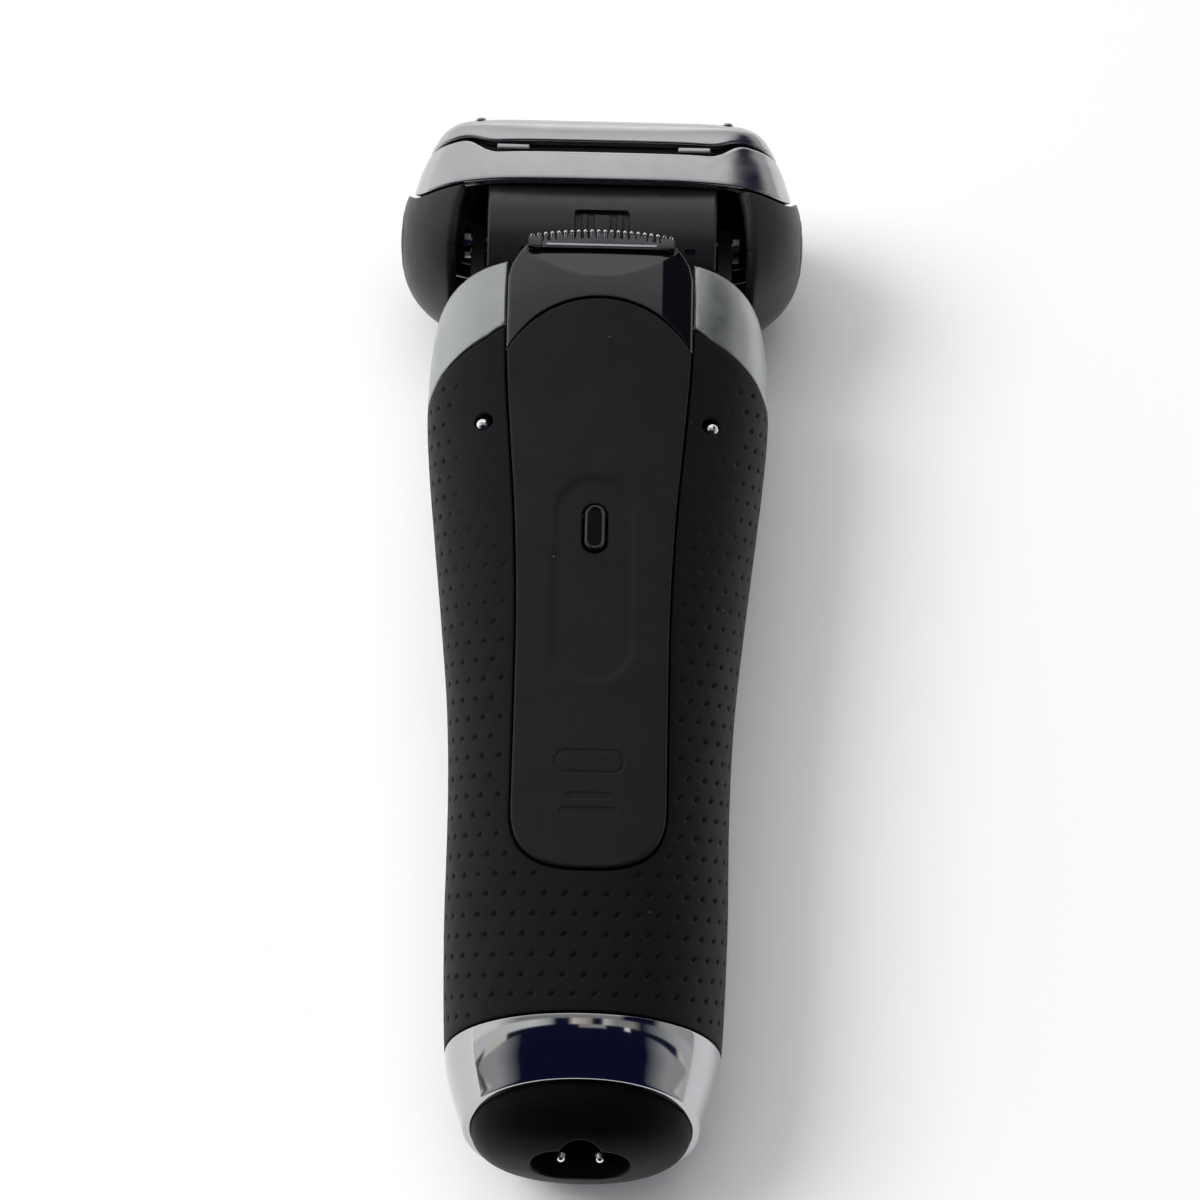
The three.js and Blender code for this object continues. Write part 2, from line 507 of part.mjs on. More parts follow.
// ---- lift-off foil cassette, also measured from the tilt axis ----
function addCassette(head) {
  const cassette = new THREE.Group();
  head.add(cassette);
  const wall = headForm(154.5, 166, 5, 0, 36).subtract(headForm(154, 167, 3, 1.4, 32));
  const crest = new THREE.Shape();
  crest.moveTo(-40, -10);
  crest.lineTo(-40, 10);
  crest.lineTo(-23, 10.4);
  crest.bezierCurveTo(-20, 10.4, -19.4, 7.5, -16.4, 7.5);
  crest.lineTo(16.4, 7.5);
  crest.bezierCurveTo(19.4, 7.5, 20, 10.4, 23, 10.4);
  crest.lineTo(40, 10);
  crest.lineTo(40, -10);
  const band = wall.intersect(pastCassetteEdge(0)).intersect(extrude(crest, 'z', -30, 30));
  put(cassette, 'cassette_frame', band, CHROME);

  const liner = headForm(161.2, 166.6, 1, 1.7, 36).subtract(headForm(160, 167.5, 1, 2.5, 36));
  put(cassette, 'cassette_liner', liner, PLASTIC);

  const opening = extrude(rectangle(-12.4, -22.2, 12.4, 22.2), 'y', 5, 20);
  const brow = new THREE.Shape();
  brow.moveTo(-40, 30);
  brow.lineTo(-40, 10.3);
  brow.lineTo(-23, 10.7);
  brow.bezierCurveTo(-20, 10.7, -19.4, 9.3, -16.4, 9.3);
  brow.lineTo(16.4, 9.3);
  brow.bezierCurveTo(19.4, 9.3, 20, 10.7, 23, 10.7);
  brow.lineTo(40, 10.3);
  brow.lineTo(40, 30);
  const frame = headForm(163, 168.8, 5, 0, 36)
    .subtract(headForm(162, 167.5, 3, 1.4, 32))
    .intersect(extrude(brow, 'z', -30, 30))
    .subtract(opening);
  put(cassette, 'foil_frame', frame, CHROME);
  for (const [side, name] of [[-1, 'left'], [1, 'right']])
    put(cassette, `foil_clip_${name}`, box([side * 14.4 - 2.6, 7.9, 15], [side * 14.4 + 2.6, 8.8, 15.8]), STEEL);

  const axis = FOIL_AXIS_Y - PIVOT_Y;
  for (const [side, name] of [[-1, 'front'], [1, 'rear']]) {
    const centre = side * FOIL_Z;
    put(cassette, `foil_${name}`, arch(FOIL_R, 0.25, axis, centre, FOIL_HALF, 8.6), STEEL);
    const cartridge = box([-21.4, 7.1, centre - 4.1], [21.4, 8.3, centre + 4.1])
      .subtract(box([-20, 0, centre - 3.4], [20, 10, centre + 3.4]));
    put(cassette, `foil_cartridge_${name}`, cartridge, DARK);
    put(cassette, `cutter_${name}`, cutter(axis, centre), STEEL);

    // The two toothed trimmers between the foils.
    const middle = side * 1.75;
    let guard = box([-19.5, 8.6, middle - 1.3], [19.5, 15.6, middle + 1.3])
      .subtract(box([-18.6, 7, middle - 0.9], [18.6, 15, middle + 0.9]));
    for (let x = -18; x <= 18; x += 4.5)
      guard = guard.subtract(box([x - 0.5, 13.8, middle - 3], [x + 0.5, 18, middle + 3]));
    put(cassette, `middle_guard_${name}`, guard, STEEL);
    let blade = box([-16.6, 8.8, middle - 0.55], [16.6, 14.7, middle + 0.55]);
    for (let x = -15.6; x <= 15.6; x += 2.4)
      blade = blade.subtract(box([x - 0.6, 13.2, middle - 2], [x + 0.6, 18, middle + 2]));
    put(cassette, `middle_blade_${name}`, blade, STEEL);
  }
}

// Thin foil bent over a half circle, with straight legs down to the given height.
function arch(radius, thickness, axis, centre, half, foot) {
  const outline = (r) => {
    const shape = new THREE.Shape();
    shape.moveTo(foot, centre + r);
    shape.lineTo(foot, centre - r);
    shape.lineTo(axis, centre - r);
    shape.absarc(axis, centre, r, -Math.PI / 2, Math.PI / 2);
    shape.lineTo(foot, centre + r);
    return shape;
  };
  return extrude(outline(radius), 'x', -half, half, 12)
    .subtract(extrude(outline(radius - thickness), 'x', -half - 1, half + 1, 12).translate([0, -0.001, 0]));
}

// Slatted cutter block under a foil, with a socket for the drive pin.
function cutter(axis, centre) {
  let block = extrude(rectangle(9.2, centre - 2.9, 12, centre + 2.9), 'x', -17, 17)
    .add(rod('x', -17, 17, FOIL_R - 0.5, [axis, centre], 16));
  for (let x = -14.5; x <= 15; x += 4.14)
    block = block.subtract(box([x - 0.75, 11.6, centre - 5], [x + 0.75, 20, centre + 5]));
  return block.subtract(box([-1.5, 5, centre - 1.5], [1.5, 11.7, centre + 1.5]));
}

// ---- assembly ----
const shaver = new THREE.Group();
const handle = new THREE.Group();
shaver.add(handle);
addShells(handle);
addFoot(handle);
addContacts(handle);
addInside(handle);
addYoke(handle);
addControls(handle);
addTrimmer(shaver);

const head = new THREE.Group();
head.position.set(0, PIVOT_Y, PIVOT_Z);
shaver.add(head);
addHeadHousing(head);
addMotor(head);
addCassette(head);

shaver.position.y = -(FOOT + TOP) / 2;
export default shaver;
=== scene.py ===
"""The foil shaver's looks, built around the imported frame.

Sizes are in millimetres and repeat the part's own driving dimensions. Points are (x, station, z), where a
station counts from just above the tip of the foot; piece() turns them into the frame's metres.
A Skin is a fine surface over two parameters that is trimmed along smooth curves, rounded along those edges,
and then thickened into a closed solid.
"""
import json
import math

import bmesh
import bpy
import numpy as np
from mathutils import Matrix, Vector


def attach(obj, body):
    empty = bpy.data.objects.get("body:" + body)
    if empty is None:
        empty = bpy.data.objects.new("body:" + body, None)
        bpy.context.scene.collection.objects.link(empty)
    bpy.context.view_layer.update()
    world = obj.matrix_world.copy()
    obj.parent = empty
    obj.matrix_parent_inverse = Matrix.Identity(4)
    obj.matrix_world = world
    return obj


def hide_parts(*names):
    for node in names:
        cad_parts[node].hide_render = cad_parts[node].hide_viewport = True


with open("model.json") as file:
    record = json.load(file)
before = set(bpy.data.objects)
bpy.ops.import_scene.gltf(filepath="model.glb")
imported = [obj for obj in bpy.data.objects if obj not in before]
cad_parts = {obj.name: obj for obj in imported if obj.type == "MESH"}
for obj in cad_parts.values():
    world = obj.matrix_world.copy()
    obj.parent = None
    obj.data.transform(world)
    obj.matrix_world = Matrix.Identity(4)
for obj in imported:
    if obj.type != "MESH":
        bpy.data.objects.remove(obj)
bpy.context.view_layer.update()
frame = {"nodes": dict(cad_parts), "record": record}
nodes = frame["nodes"]
MM = 0.001

# ---- driving dimensions, as in the part ----
FOOT, TOP = -1.2, 169.9
GAP = 0.3
WALL = 1.9
MID_Z = 17
PIVOT_Y = 154
PIVOT_Z = 18
CORE_R = 14
CORE_HALF = 18.2
EAR_R = 15.8
EAR_BASE = 19
EAR_RISE = 13.5
HORN_R = 19
RING_TOP = 16.3
RIM_Y = 5.7
SLIDER_END = 39
PAD_TOP = 132.4
PAD_ARC = 16.3
CONTACT_X, CONTACT_Y = 17.5, 112.9
BUTTON_Y, BUTTON_HALF_WIDTH, BUTTON_HALF_LENGTH = 93.5, 1.6, 3.8
FOIL_R = 3.9
FOIL_Z = 7.4
FOIL_HALF = 19
FOIL_AXIS = 12
FIRST_Y = -(FOOT + TOP) / 2  # the frame's Y at station 0
SIDES = ((-1, "left"), (1, "right"))


def profile(*points):
    """A cubic curve through (station, value) points with gentle slopes, held level past both ends."""
    at, value = np.array(points, float).T
    last = len(at) - 1
    before, after = np.maximum(np.arange(last + 1) - 1, 0), np.minimum(np.arange(last + 1) + 1, last)
    slope = (value[after] - value[before]) / (at[after] - at[before])

    def curve(y):
        y = np.clip(y, at[0], at[-1])
        i = np.clip(np.searchsorted(at, y), 1, last)
        h = at[i] - at[i - 1]
        t = (y - at[i - 1]) / h
        return (value[i - 1] * (2 * t**3 - 3 * t**2 + 1) + value[i] * (3 * t**2 - 2 * t**3)
                + h * (slope[i - 1] * (t**3 - 2 * t**2 + t) + slope[i] * (t**3 - t**2)))

    return curve


half_width = profile((4.9, 17), (6.5, 17.5), (8.5, 18.2), (11, 19.05), (14, 19.8), (19, 20.3), (35, 20.9),
                     (55, 21.1), (70, 21.8), (85, 23.3), (100, 25), (112, 26.3), (121, 26.9), (130, 26.6),
                     (137, 25.3), (142, 22.9), (147, 18.5))
back_z = profile((4.9, 30.2), (7.5, 31.2), (11, 32.4), (15, 33.3), (19, 33.6), (40, 33.9), (70, 34.3),
                 (100, 34.9), (120, 34.8), (132, 34.2), (140, 33.4), (147, 32))
front_z = profile((4.9, 3.9), (7.5, 2.6), (11, 1), (14, -0.2), (19, -0.5), (24, -0.3), (40, 1), (70, 2),
                  (96, 1), (112, -0.3), (120, -0.5), (127, -0.3), (136, 0.9), (147, 4))
squareness = profile((8, 2.1), (40, 2.2), (100, 2.4), (125, 2.8), (136, 3.6), (142, 4.2), (147, 4.3))
slant = profile((0, 0.27), (4.9, 0.27), (16.3, 0.055), (26, 0), (147, 0))
slider_half = profile((35, 11.3), (75, 11.35), (85, 11.6), (97, 12.2), (108, 13.1), (120, 14), (131, 14.4),
                      (147, 14.4))
slider_top = profile((35, 34.1), (70, 34.6), (100, 35.3), (115, 35.8), (126, 36.7), (135, 37.5), (147, 38))
head_half = profile((154, 31.2), (158, 30.7), (161, 29.9), (163, 29.2), (165, 28.2), (166.6, 27.1),
                    (167.6, 26.2), (168.4, 25.2), (168.8, 24.3))
head_depth = profile((154, 16.6), (158, 16.6), (161, 16.5), (163, 16.3), (165, 16), (166.6, 15.5),
                     (167.6, 14.9), (168.4, 14.2), (168.8, 13.5))
head_squareness = profile((154, 3.6), (161, 3.9), (165, 4.6), (168.8, 7.5))


def join_axes(x, y, z):
    return np.stack(np.broadcast_arrays(x, y, z), -1)


def superellipse(phi, half, depth, power):
    """x and z on a superellipse, phi turning from +Z towards +X."""
    s, c = np.sin(phi), np.cos(phi)
    r = (np.abs(s / half) ** power + np.abs(c / depth) ** power) ** (-1 / power)
    return r * s, r * c


def half_depth(station):
    return (back_z(station) - front_z(station)) / 2


def handle_point(station, phi, inset=0):
    depth = half_depth(station)
    x, z = superellipse(phi, half_width(station) - inset, depth - inset, squareness(station))
    return join_axes(x, station + slant(station) * z, np.maximum(front_z(station) + depth + z, 0))


def head_point(station, phi, inset=0):
    half, depth = head_half(station) - inset, head_depth(station) - inset
    x, z = superellipse(phi, half, depth, head_squareness(station))
    return join_axes(x, station, PIVOT_Z + z)


def slider_face(x, y):
    return slider_top(y) - 1.3 * (x / 14.4) ** 2


# ---- outlines and distances in a plane ----
def bezier(p0, p1, p2, p3, steps=14):
    t = np.linspace(0, 1, steps + 1)[:, None]
    p0, p1, p2, p3 = map(np.array, (p0, p1, p2, p3))
    return p0 * (1 - t) ** 3 + 3 * p1 * t * (1 - t) ** 2 + 3 * p2 * t**2 * (1 - t) + p3 * t**3


def slider_outline(margin, top, end=SLIDER_END):
    half = slider_half(end) + margin
    corner = 9.5
    y = np.linspace(end + corner, top, 24)
    side = np.stack([slider_half(y) + margin, y], -1)
    start = (half - corner - 1, end - margin)
    turn = bezier(start, (half - 3.4, end - margin), (half, end + 3.4), (half, end + corner))
    right = np.concatenate([turn, side[1:]])
    return np.concatenate([right, right[::-1] * [-1, 1]])


def polygon_distance(polygon, a, b):
    """Distance to a closed outline, negative inside it."""
    start, end = polygon, np.roll(polygon, -1, 0)
    best, inside = np.full(a.shape, 1e9), np.zeros(a.shape, bool)
    for (x0, y0), (x1, y1) in zip(start, end):
        dx, dy = x1 - x0, y1 - y0
        t = np.clip(((a - x0) * dx + (b - y0) * dy) / max(dx * dx + dy * dy, 1e-12), 0, 1)
        best = np.minimum(best, (a - x0 - t * dx) ** 2 + (b - y0 - t * dy) ** 2)
        if y0 != y1:
            inside ^= ((y0 > b) != (y1 > b)) & (a < x0 + (b - y0) * dx / dy)
    return np.sqrt(best) * np.where(inside, -1, 1)


def stadium_distance(a, b, u, v, half, length):
    """Distance to a slot shape with round ends, longer along b."""
    return np.hypot(a - u, np.maximum(np.abs(b - v) - (length - half), 0)) - half


def rectangle_distance(a, b, u, v, half_u, half_v, corner=0.0):
    du, dv = np.abs(a - u) - half_u + corner, np.abs(b - v) - half_v + corner
    return np.hypot(np.maximum(du, 0), np.maximum(dv, 0)) + np.minimum(np.maximum(du, dv), 0) - corner


def in_stadium(u, v, half, length):
    """A field for shell(): distance to a slot shape in the XY plane."""
    return lambda p, uv: stadium_distance(p[:, 0], p[:, 1], u, v, half, length)


def in_polygon(outline):
    """A field for shell(): distance to a closed outline in the XY plane."""
    return lambda p, uv: polygon_distance(outline, p[:, 0], p[:, 1])


def about_axis(measure):
    """A field for shell() from measure(x, y, z), with y and z counted from the tilt axis."""
    return lambda p, uv: measure(p[:, 0], p[:, 1] - PIVOT_Y, p[:, 2] - PIVOT_Z)


def arc(width, height, start, stop, count, middle=0):
    """Points of an elliptic arc whose last point is left out."""
    turns = np.linspace(start, stop, count)[:-1]
    return [(width * math.cos(t), middle + height * math.sin(t)) for t in turns]


def full_turn(count):
    return np.linspace(0, 2 * math.pi, count, endpoint=False)


def smooth(t):
    t = np.clip(t, 0, 1)
    return t * t * (3 - 2 * t)


# ---- trimmed skins ----
class Skin:
    """A surface place(u, v) on a grid of triangles that faces along its u cross v direction."""

    def __init__(self, place, us, vs, wrap=False, turn=1):
        self.place = place
        self.turn = turn
        u, v = np.meshgrid(us, vs, indexing="ij")
        self.uv = np.stack([u.ravel(), v.ravel()], -1)
        self.faces = grid_faces(len(us), len(vs))
        self.seam = (us[0], us[-1]) if wrap else ()
        self.fixed = self.on_seam()

    def on_seam(self):
        held = np.zeros(len(self.uv), bool)
        for end in self.seam:
            held |= np.abs(self.uv[:, 0] - end) < 1e-9
        return held

    def copy(self):
        other = object.__new__(Skin)
        other.__dict__ = {k: v.copy() if isinstance(v, np.ndarray) else v for k, v in self.__dict__.items()}
        return other

    def points(self, uv=None):
        uv = self.uv if uv is None else uv
        return self.place(uv[:, 0], uv[:, 1])

    def tangents(self, uv, step=2e-3):
        du, dv = np.array([step, 0]), np.array([0, step])
        pu = (self.points(uv + du) - self.points(uv - du)) / (2 * step)
        pv = (self.points(uv + dv) - self.points(uv - dv)) / (2 * step)
        return pu, pv

    def normals(self, uv=None):
        n = np.cross(*self.tangents(self.uv if uv is None else uv))
        return self.turn * n / np.maximum(np.linalg.norm(n, axis=1), 1e-12)[:, None]

    def reach(self, field, uv, near=4.0, step=2e-3):
        """Distance along the skin to the field's zero line, positive on the kept side."""
        value = field(self.points(uv), uv)
        far = np.abs(value) > near
        out = np.where(far, near, 0.0)
        close = uv[~far]
        if len(close):
            pu, pv = self.tangents(close)
            slopes = []
            for way in (np.array([step, 0]), np.array([0, step])):
                ahead, behind = close + way, close - way
                rise = field(self.points(ahead), ahead) - field(self.points(behind), behind)
                slopes.append(rise / (2 * step))
            gu, gv = slopes
            e, f, g = (pu * pu).sum(1), (pu * pv).sum(1), (pv * pv).sum(1)
            steep = (g * gu**2 - 2 * f * gu * gv + e * gv**2) / np.maximum(e * g - f * f, 1e-12)
            out[~far] = -value[~far] / np.sqrt(np.maximum(steep, 0.02))
        return out

    def split(self, measure, drop=False, snap=0.15):
        """Adds edges along measure(uv) = 0; drop leaves out the side where it is positive."""
        value = measure(self.uv)
        value[np.abs(value) < 1e-7] = 0
        for attempt in range(2):
            pairs = np.sort(self.faces[:, [[0, 1], [1, 2], [2, 0]]].reshape(-1, 2), 1)
            key = np.unique(pairs[:, 0] * len(self.uv) + pairs[:, 1])
            a, b = key // len(self.uv), key % len(self.uv)
            crossing = value[a] * value[b] < 0
            a, b, key = a[crossing], b[crossing], key[crossing]
            if not len(a):
                break
            spot, t = self.crossings(a, b, value, measure)
            if attempt or not snap:
                break
            for end, close in ((a, t < snap), (b, t > 1 - snap)):
                who, first = np.unique(end[close & ~self.fixed[end]], return_index=True)
                self.uv[who] = spot[close & ~self.fixed[end]][first]
                value[who] = 0
                self.fixed[who] = True
        if len(a):
            self.cut(key, spot)
            value = np.concatenate([value, np.zeros(len(spot))])
        if drop:
            self.faces = self.faces[value[self.faces].sum(1) < 0]
            self.compact()
        return self

    def crossings(self, a, b, value, measure):
        low, high = np.zeros(len(a)), np.ones(len(a))
        low_value, high_value = value[a].copy(), value[b].copy()
        for _ in range(4):
            t = low + (high - low) * low_value / (low_value - high_value)
            spot = self.uv[a] * (1 - t)[:, None] + self.uv[b] * t[:, None]
            here = measure(spot)
            same = here * low_value > 0
            low, low_value = np.where(same, t, low), np.where(same, here, low_value)
            crossed = np.where(here == 0, -1e-9 * low_value, here)
            high, high_value = np.where(same, high, t), np.where(same, high_value, crossed)
        return spot, t

    def cut(self, key, spot):
        count = len(self.uv)
        middle = np.full((len(self.faces), 3), -1)
        for k in range(3):
            ends = np.sort(self.faces[:, [k, (k + 1) % 3]], 1)
            mine = ends[:, 0] * count + ends[:, 1]
            at = np.clip(np.searchsorted(key, mine), 0, len(key) - 1)
            middle[:, k] = np.where(key[at] == mine, count + at, -1)
        cuts = (middle >= 0).sum(1)
        made = [self.faces[cuts == 0]]
        for k in range(3):
            one = (cuts == 1) & (middle[:, k] >= 0)
            p, q, r = (self.faces[one, (k + i) % 3] for i in range(3))
            m = middle[one, k]
            made += [np.stack([p, m, r], -1), np.stack([m, q, r], -1)]
            two = (cuts == 2) & (middle[:, k] >= 0) & (middle[:, (k + 1) % 3] >= 0)
            p, q, r = (self.faces[two, (k + i) % 3] for i in range(3))
            m, n = middle[two, k], middle[two, (k + 1) % 3]
            made += [np.stack([q, n, m], -1), four_sided(p, m, n, r)]
        self.faces = np.concatenate(made)
        self.uv = np.concatenate([self.uv, spot])
        self.fixed = np.concatenate([self.fixed, np.ones(len(spot), bool)])

    def compact(self):
        used, self.faces = np.unique(self.faces, return_inverse=True)
        self.faces = self.faces.reshape(-1, 3)
        self.uv, self.fixed = self.uv[used], self.fixed[used]

    def border(self):
        """Edges with a face on one side only, in that face's order, apart from a seam's."""
        pairs = self.faces[:, [[0, 1], [1, 2], [2, 0]]].reshape(-1, 2)
        key = np.sort(pairs, 1)
        key = key[:, 0] * len(self.uv) + key[:, 1]
        _, first, count = np.unique(key, return_index=True, return_counts=True)
        open_edges = pairs[first[count == 1]]
        held = self.on_seam()
        return open_edges[~(held[open_edges].all(1) & (np.ptp(self.uv[open_edges][:, :, 0], 1) < 1e-9))]


ROUNDING = (0.08, 0.3, 0.62, 1.0)


def shell(skin, fields, radius, thickness, relief=None, rings=(), creases=(), down=None):
    """Trims a skin where the fields are positive, rounds those edges, sinks it by relief(points, uv) and
    closes it into a solid. The radius is a number or one for each field. rings and creases are measures whose
    zero lines become edges; only creases may meet the border. down is the direction of the thickness where it
    isn't the normal's."""
    radii = radius if isinstance(radius, (list, tuple)) else [radius] * len(fields)
    for field in fields:
        skin.split(lambda uv, f=field: f(skin.points(uv), uv), drop=True)
    for measure in creases:
        skin.split(measure)
    base = skin.copy()
    edge = skin.border()

    def share(uv):
        """Distance from the nearest edge as a share of its rounding."""
        return np.min([skin.reach(f, uv) / r for f, r in zip(fields, radii)], 0)

    for level in ROUNDING:
        skin.split(lambda uv, at=level: share(uv) - at)
    for measure in rings:
        skin.split(measure)
    inward = [-s.normals() if down is None else np.broadcast_to(down, s.points().shape) for s in (skin, base)]
    shares = np.array([skin.reach(f, skin.uv) / r for f, r in zip(fields, radii)])
    nearest = np.array(radii)[shares.argmin(0)]
    left = 1 - np.clip(shares.min(0), 0, 1)
    sink = nearest * (1 - np.sqrt(1 - left**2))
    outer = skin.points()
    if relief is not None:
        sink = sink + relief(outer, skin.uv)
    outer = outer + inward[0] * sink[:, None]
    thick = thickness(base.points()) if callable(thickness) else thickness
    inner = base.points() + inward[1] * (thick[:, None] if np.ndim(thick) else thick)
    return close(outer, skin.faces, inner, base.faces, edge)


def close(outer, outer_faces, inner, inner_faces, edge):
    """A closed solid from two sheets that share the vertex numbers of their border."""
    shift = len(outer)
    a, b = edge.T
    skirt = four_sided(b, a, a + shift, b + shift)
    return np.concatenate([outer, inner]), np.concatenate([outer_faces, inner_faces[:, ::-1] + shift, skirt])


def lathe(outline, count, axis="z", centre=(0, 0, 0)):
    """Turns (radius, height) points about an axis; points on the axis close the ends."""
    outline = np.array(outline, float)
    turn = full_turn(count)
    r, h = outline.T
    a, b = np.cos(turn)[:, None] * r, np.sin(turn)[:, None] * r
    h = np.broadcast_to(h, a.shape)
    axes = {"z": (a, b, h), "y": (b, h, a), "x": (h, a, b)}[axis]
    points = np.stack(axes, -1).reshape(-1, 3) + np.array(centre)
    return points, grid_faces(count, len(outline), wrap=True)


def grid_faces(rows, cols, wrap=False):
    i = np.arange(rows if wrap else rows - 1)
    a = (i[:, None] * cols + np.arange(cols - 1)).ravel()
    b = (((i[:, None] + 1) % rows) * cols + np.arange(cols - 1)).ravel()
    return four_sided(a, b, b + 1, a + 1)


def four_sided(a, b, c, d):
    """Two triangles for each four corners."""
    return np.concatenate([np.stack([a, b, c], -1), np.stack([a, c, d], -1)])


def rounded_bar(outline, low, high, radius, steps=3):
    """An outline in the plane, extruded from low to high with rounded rims: points are (a, b, height)."""
    outline = np.array(outline, float)
    ahead, behind = np.roll(outline, -1, 0) - outline, outline - np.roll(outline, 1, 0)
    normal = [np.stack([d[:, 1], -d[:, 0]], -1) / np.maximum(np.linalg.norm(d, axis=1), 1e-9)[:, None]
              for d in (ahead, behind)]
    mitre = normal[0] + normal[1]
    mitre /= np.maximum((mitre * normal[0]).sum(1), 0.35)[:, None]
    angles = np.linspace(0, math.pi / 2, steps + 1)
    rise = [(radius * (1 - math.sin(t)), radius * (1 - math.cos(t))) for t in angles]
    levels = [(inset, low + lift) for lift, inset in reversed(rise)]
    levels += [(inset, high - lift) for lift, inset in rise]
    rows = [np.column_stack([outline - mitre * inset, np.full(len(outline), h)]) for inset, h in levels]
    count = len(outline)
    points = np.concatenate(rows)
    faces = []
    for k in range(len(levels) - 1):
        a = k * count + np.arange(count)
        b = k * count + (np.arange(count) + 1) % count
        faces.append(four_sided(a, b, b + count, a + count))
    ends = [list(range(count))[::-1], [(len(levels) - 1) * count + i for i in range(count)]]
    return points, [list(f) for f in np.concatenate(faces)] + ends


def on_axes(points, axis):
    """Moves (a, b, height) points so that height runs along the axis."""
    a, b, h = points.T
    return np.stack({"x": (h, a, b), "y": (b, h, a), "z": (a, b, h)}[axis], -1)


def stack_solids(*solids):
    """Joins separate closed bodies into one list of points and faces."""
    points, faces, count = [], [], 0
    for p, f in solids:
        points.append(p)
        faces += [[int(i) + count for i in face] for face in f]
        count += len(p)
    return np.concatenate(points), faces


def mirrored(solid):
    points, faces = solid
    return points * [-1, 1, 1], [list(f)[::-1] for f in faces]


# ---- pieces ----
def piece(name, solid, body, slot, *replaces, finish=None, sharp=42, weld=0.0005):
    """A visible piece on a body, in its slot's finish unless another is given, in place of the CAD nodes."""
    points, faces = solid
    points = (np.asarray(points) + [0, FIRST_Y, 0]) * MM
    mesh = bpy.data.meshes.new(name)
    mesh.from_pydata(points.tolist(), [], [[int(i) for i in f] for f in faces])
    mesh.validate()
    obj = bpy.data.objects.new(name, mesh)
    bpy.context.scene.collection.objects.link(obj)
    tidy(mesh, weld * MM)
    mesh.shade_smooth()
    mesh.set_sharp_from_angle(angle=math.radians(sharp))
    mesh.materials.append(finish or FINISH[slot])
    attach(obj, body)
    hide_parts(*replaces)
    return obj


def tidy(mesh, distance):
    bm = bmesh.new()
    bm.from_mesh(mesh)
    bmesh.ops.remove_doubles(bm, verts=bm.verts, dist=distance)
    bmesh.ops.dissolve_degenerate(bm, edges=bm.edges, dist=distance * 0.2)
    bmesh.ops.recalc_face_normals(bm, faces=bm.faces)
    bm.to_mesh(mesh)
    bm.free()


def paint(obj, choose, *finishes):
    """Adds finishes to a piece and gives each face the one numbered choose(x, station, z)."""
    for finish in finishes:
        obj.data.materials.append(finish)
    for polygon in obj.data.polygons:
        x, y, z = polygon.center / MM
        polygon.material_index = int(choose(x, y - FIRST_Y, z))


# ---- materials ----
def add_node(tree, kind, inputs, **settings):
    """Adds a shader node; each input gets a value or another node's output."""
    node = tree.nodes.new("ShaderNode" + kind)
    for name, value in settings.items():
        setattr(node, name, value)
    feed(tree, node, inputs)
    return node


def feed(tree, node, inputs):
    for name, value in inputs.items():
        if isinstance(value, bpy.types.NodeSocket):
            tree.links.new(value, node.inputs[name])
        else:
            node.inputs[name].default_value = value


def color_ramp(tree, source, stops):
    """Colours along 0 to 1: stops are (place, colour)."""
    node = add_node(tree, "ValToRGB", {"Fac": source})
    elements = node.color_ramp.elements
    while len(elements) < len(stops):
        elements.new(0.5)
    for element, (place, color) in zip(elements, stops):
        element.position, element.color = place, [*color, 1]
    return node.outputs["Color"]


def map_range(tree, source, low, high, to_low=0.0, to_high=1.0):
    inputs = {"Value": source, "From Min": low, "From Max": high, "To Min": to_low, "To Max": to_high}
    return add_node(tree, "MapRange", inputs).outputs["Result"]


def mix_colors(tree, factor, a, b):
    return add_node(tree, "Mix", {"Factor": factor, "A": a, "B": b}, data_type="RGBA").outputs["Result"]


def material(name, color, roughness, metallic=0.0, specular=0.5, coat=0.0, grain=0.0, grain_size=0.25,
             shade=0.12, uneven=0.04, patch=7.0, stretch=(1, 1, 1), specks=0.0):
    """A finish whose colour and gloss drift over patches (mm), roughened by a fine grain (mm high)."""
    made = bpy.data.materials.new(name)
    made.use_nodes = True
    tree = made.node_tree
    where = add_node(tree, "TexCoord", {}).outputs["Object"]
    stretched = add_node(tree, "Mapping", {"Scale": stretch, "Vector": where}).outputs["Vector"]

    def noise(size, detail):
        inputs = {"Scale": 1 / (size * MM), "Detail": detail, "Vector": stretched}
        return add_node(tree, "TexNoise", inputs).outputs["Fac"]

    stops = [(place, [min(c * factor, 1) for c in color])
             for place, factor in ((0.3, 1 - shade), (0.7, 1 + shade))]
    paint = color_ramp(tree, noise(patch, 4), stops)
    if specks:
        cells = add_node(tree, "TexVoronoi", {"Scale": 1 / (4.5 * MM), "Vector": where})
        dot = add_node(tree, "Math", {0: cells.outputs["Distance"], 1: specks}, operation="LESS_THAN")
        paint = mix_colors(tree, dot.outputs["Value"], paint, (0.22, 0.22, 0.2, 1))
    gloss = map_range(tree, noise(patch * 0.35, 5), 0.3, 0.7, max(roughness - uneven, 0.01),
                      roughness + uneven)
    shader = tree.nodes["Principled BSDF"]
    feed(tree, shader, {"Base Color": paint, "Roughness": gloss, "Metallic": metallic,
                        "Specular IOR Level": specular, "Coat Weight": coat, "Coat Roughness": 0.04})
    if grain:
        inputs = {"Strength": 1, "Distance": grain * MM, "Height": noise(grain_size, 3)}
        feed(tree, shader, {"Normal": add_node(tree, "Bump", inputs).outputs["Normal"]})
    return made


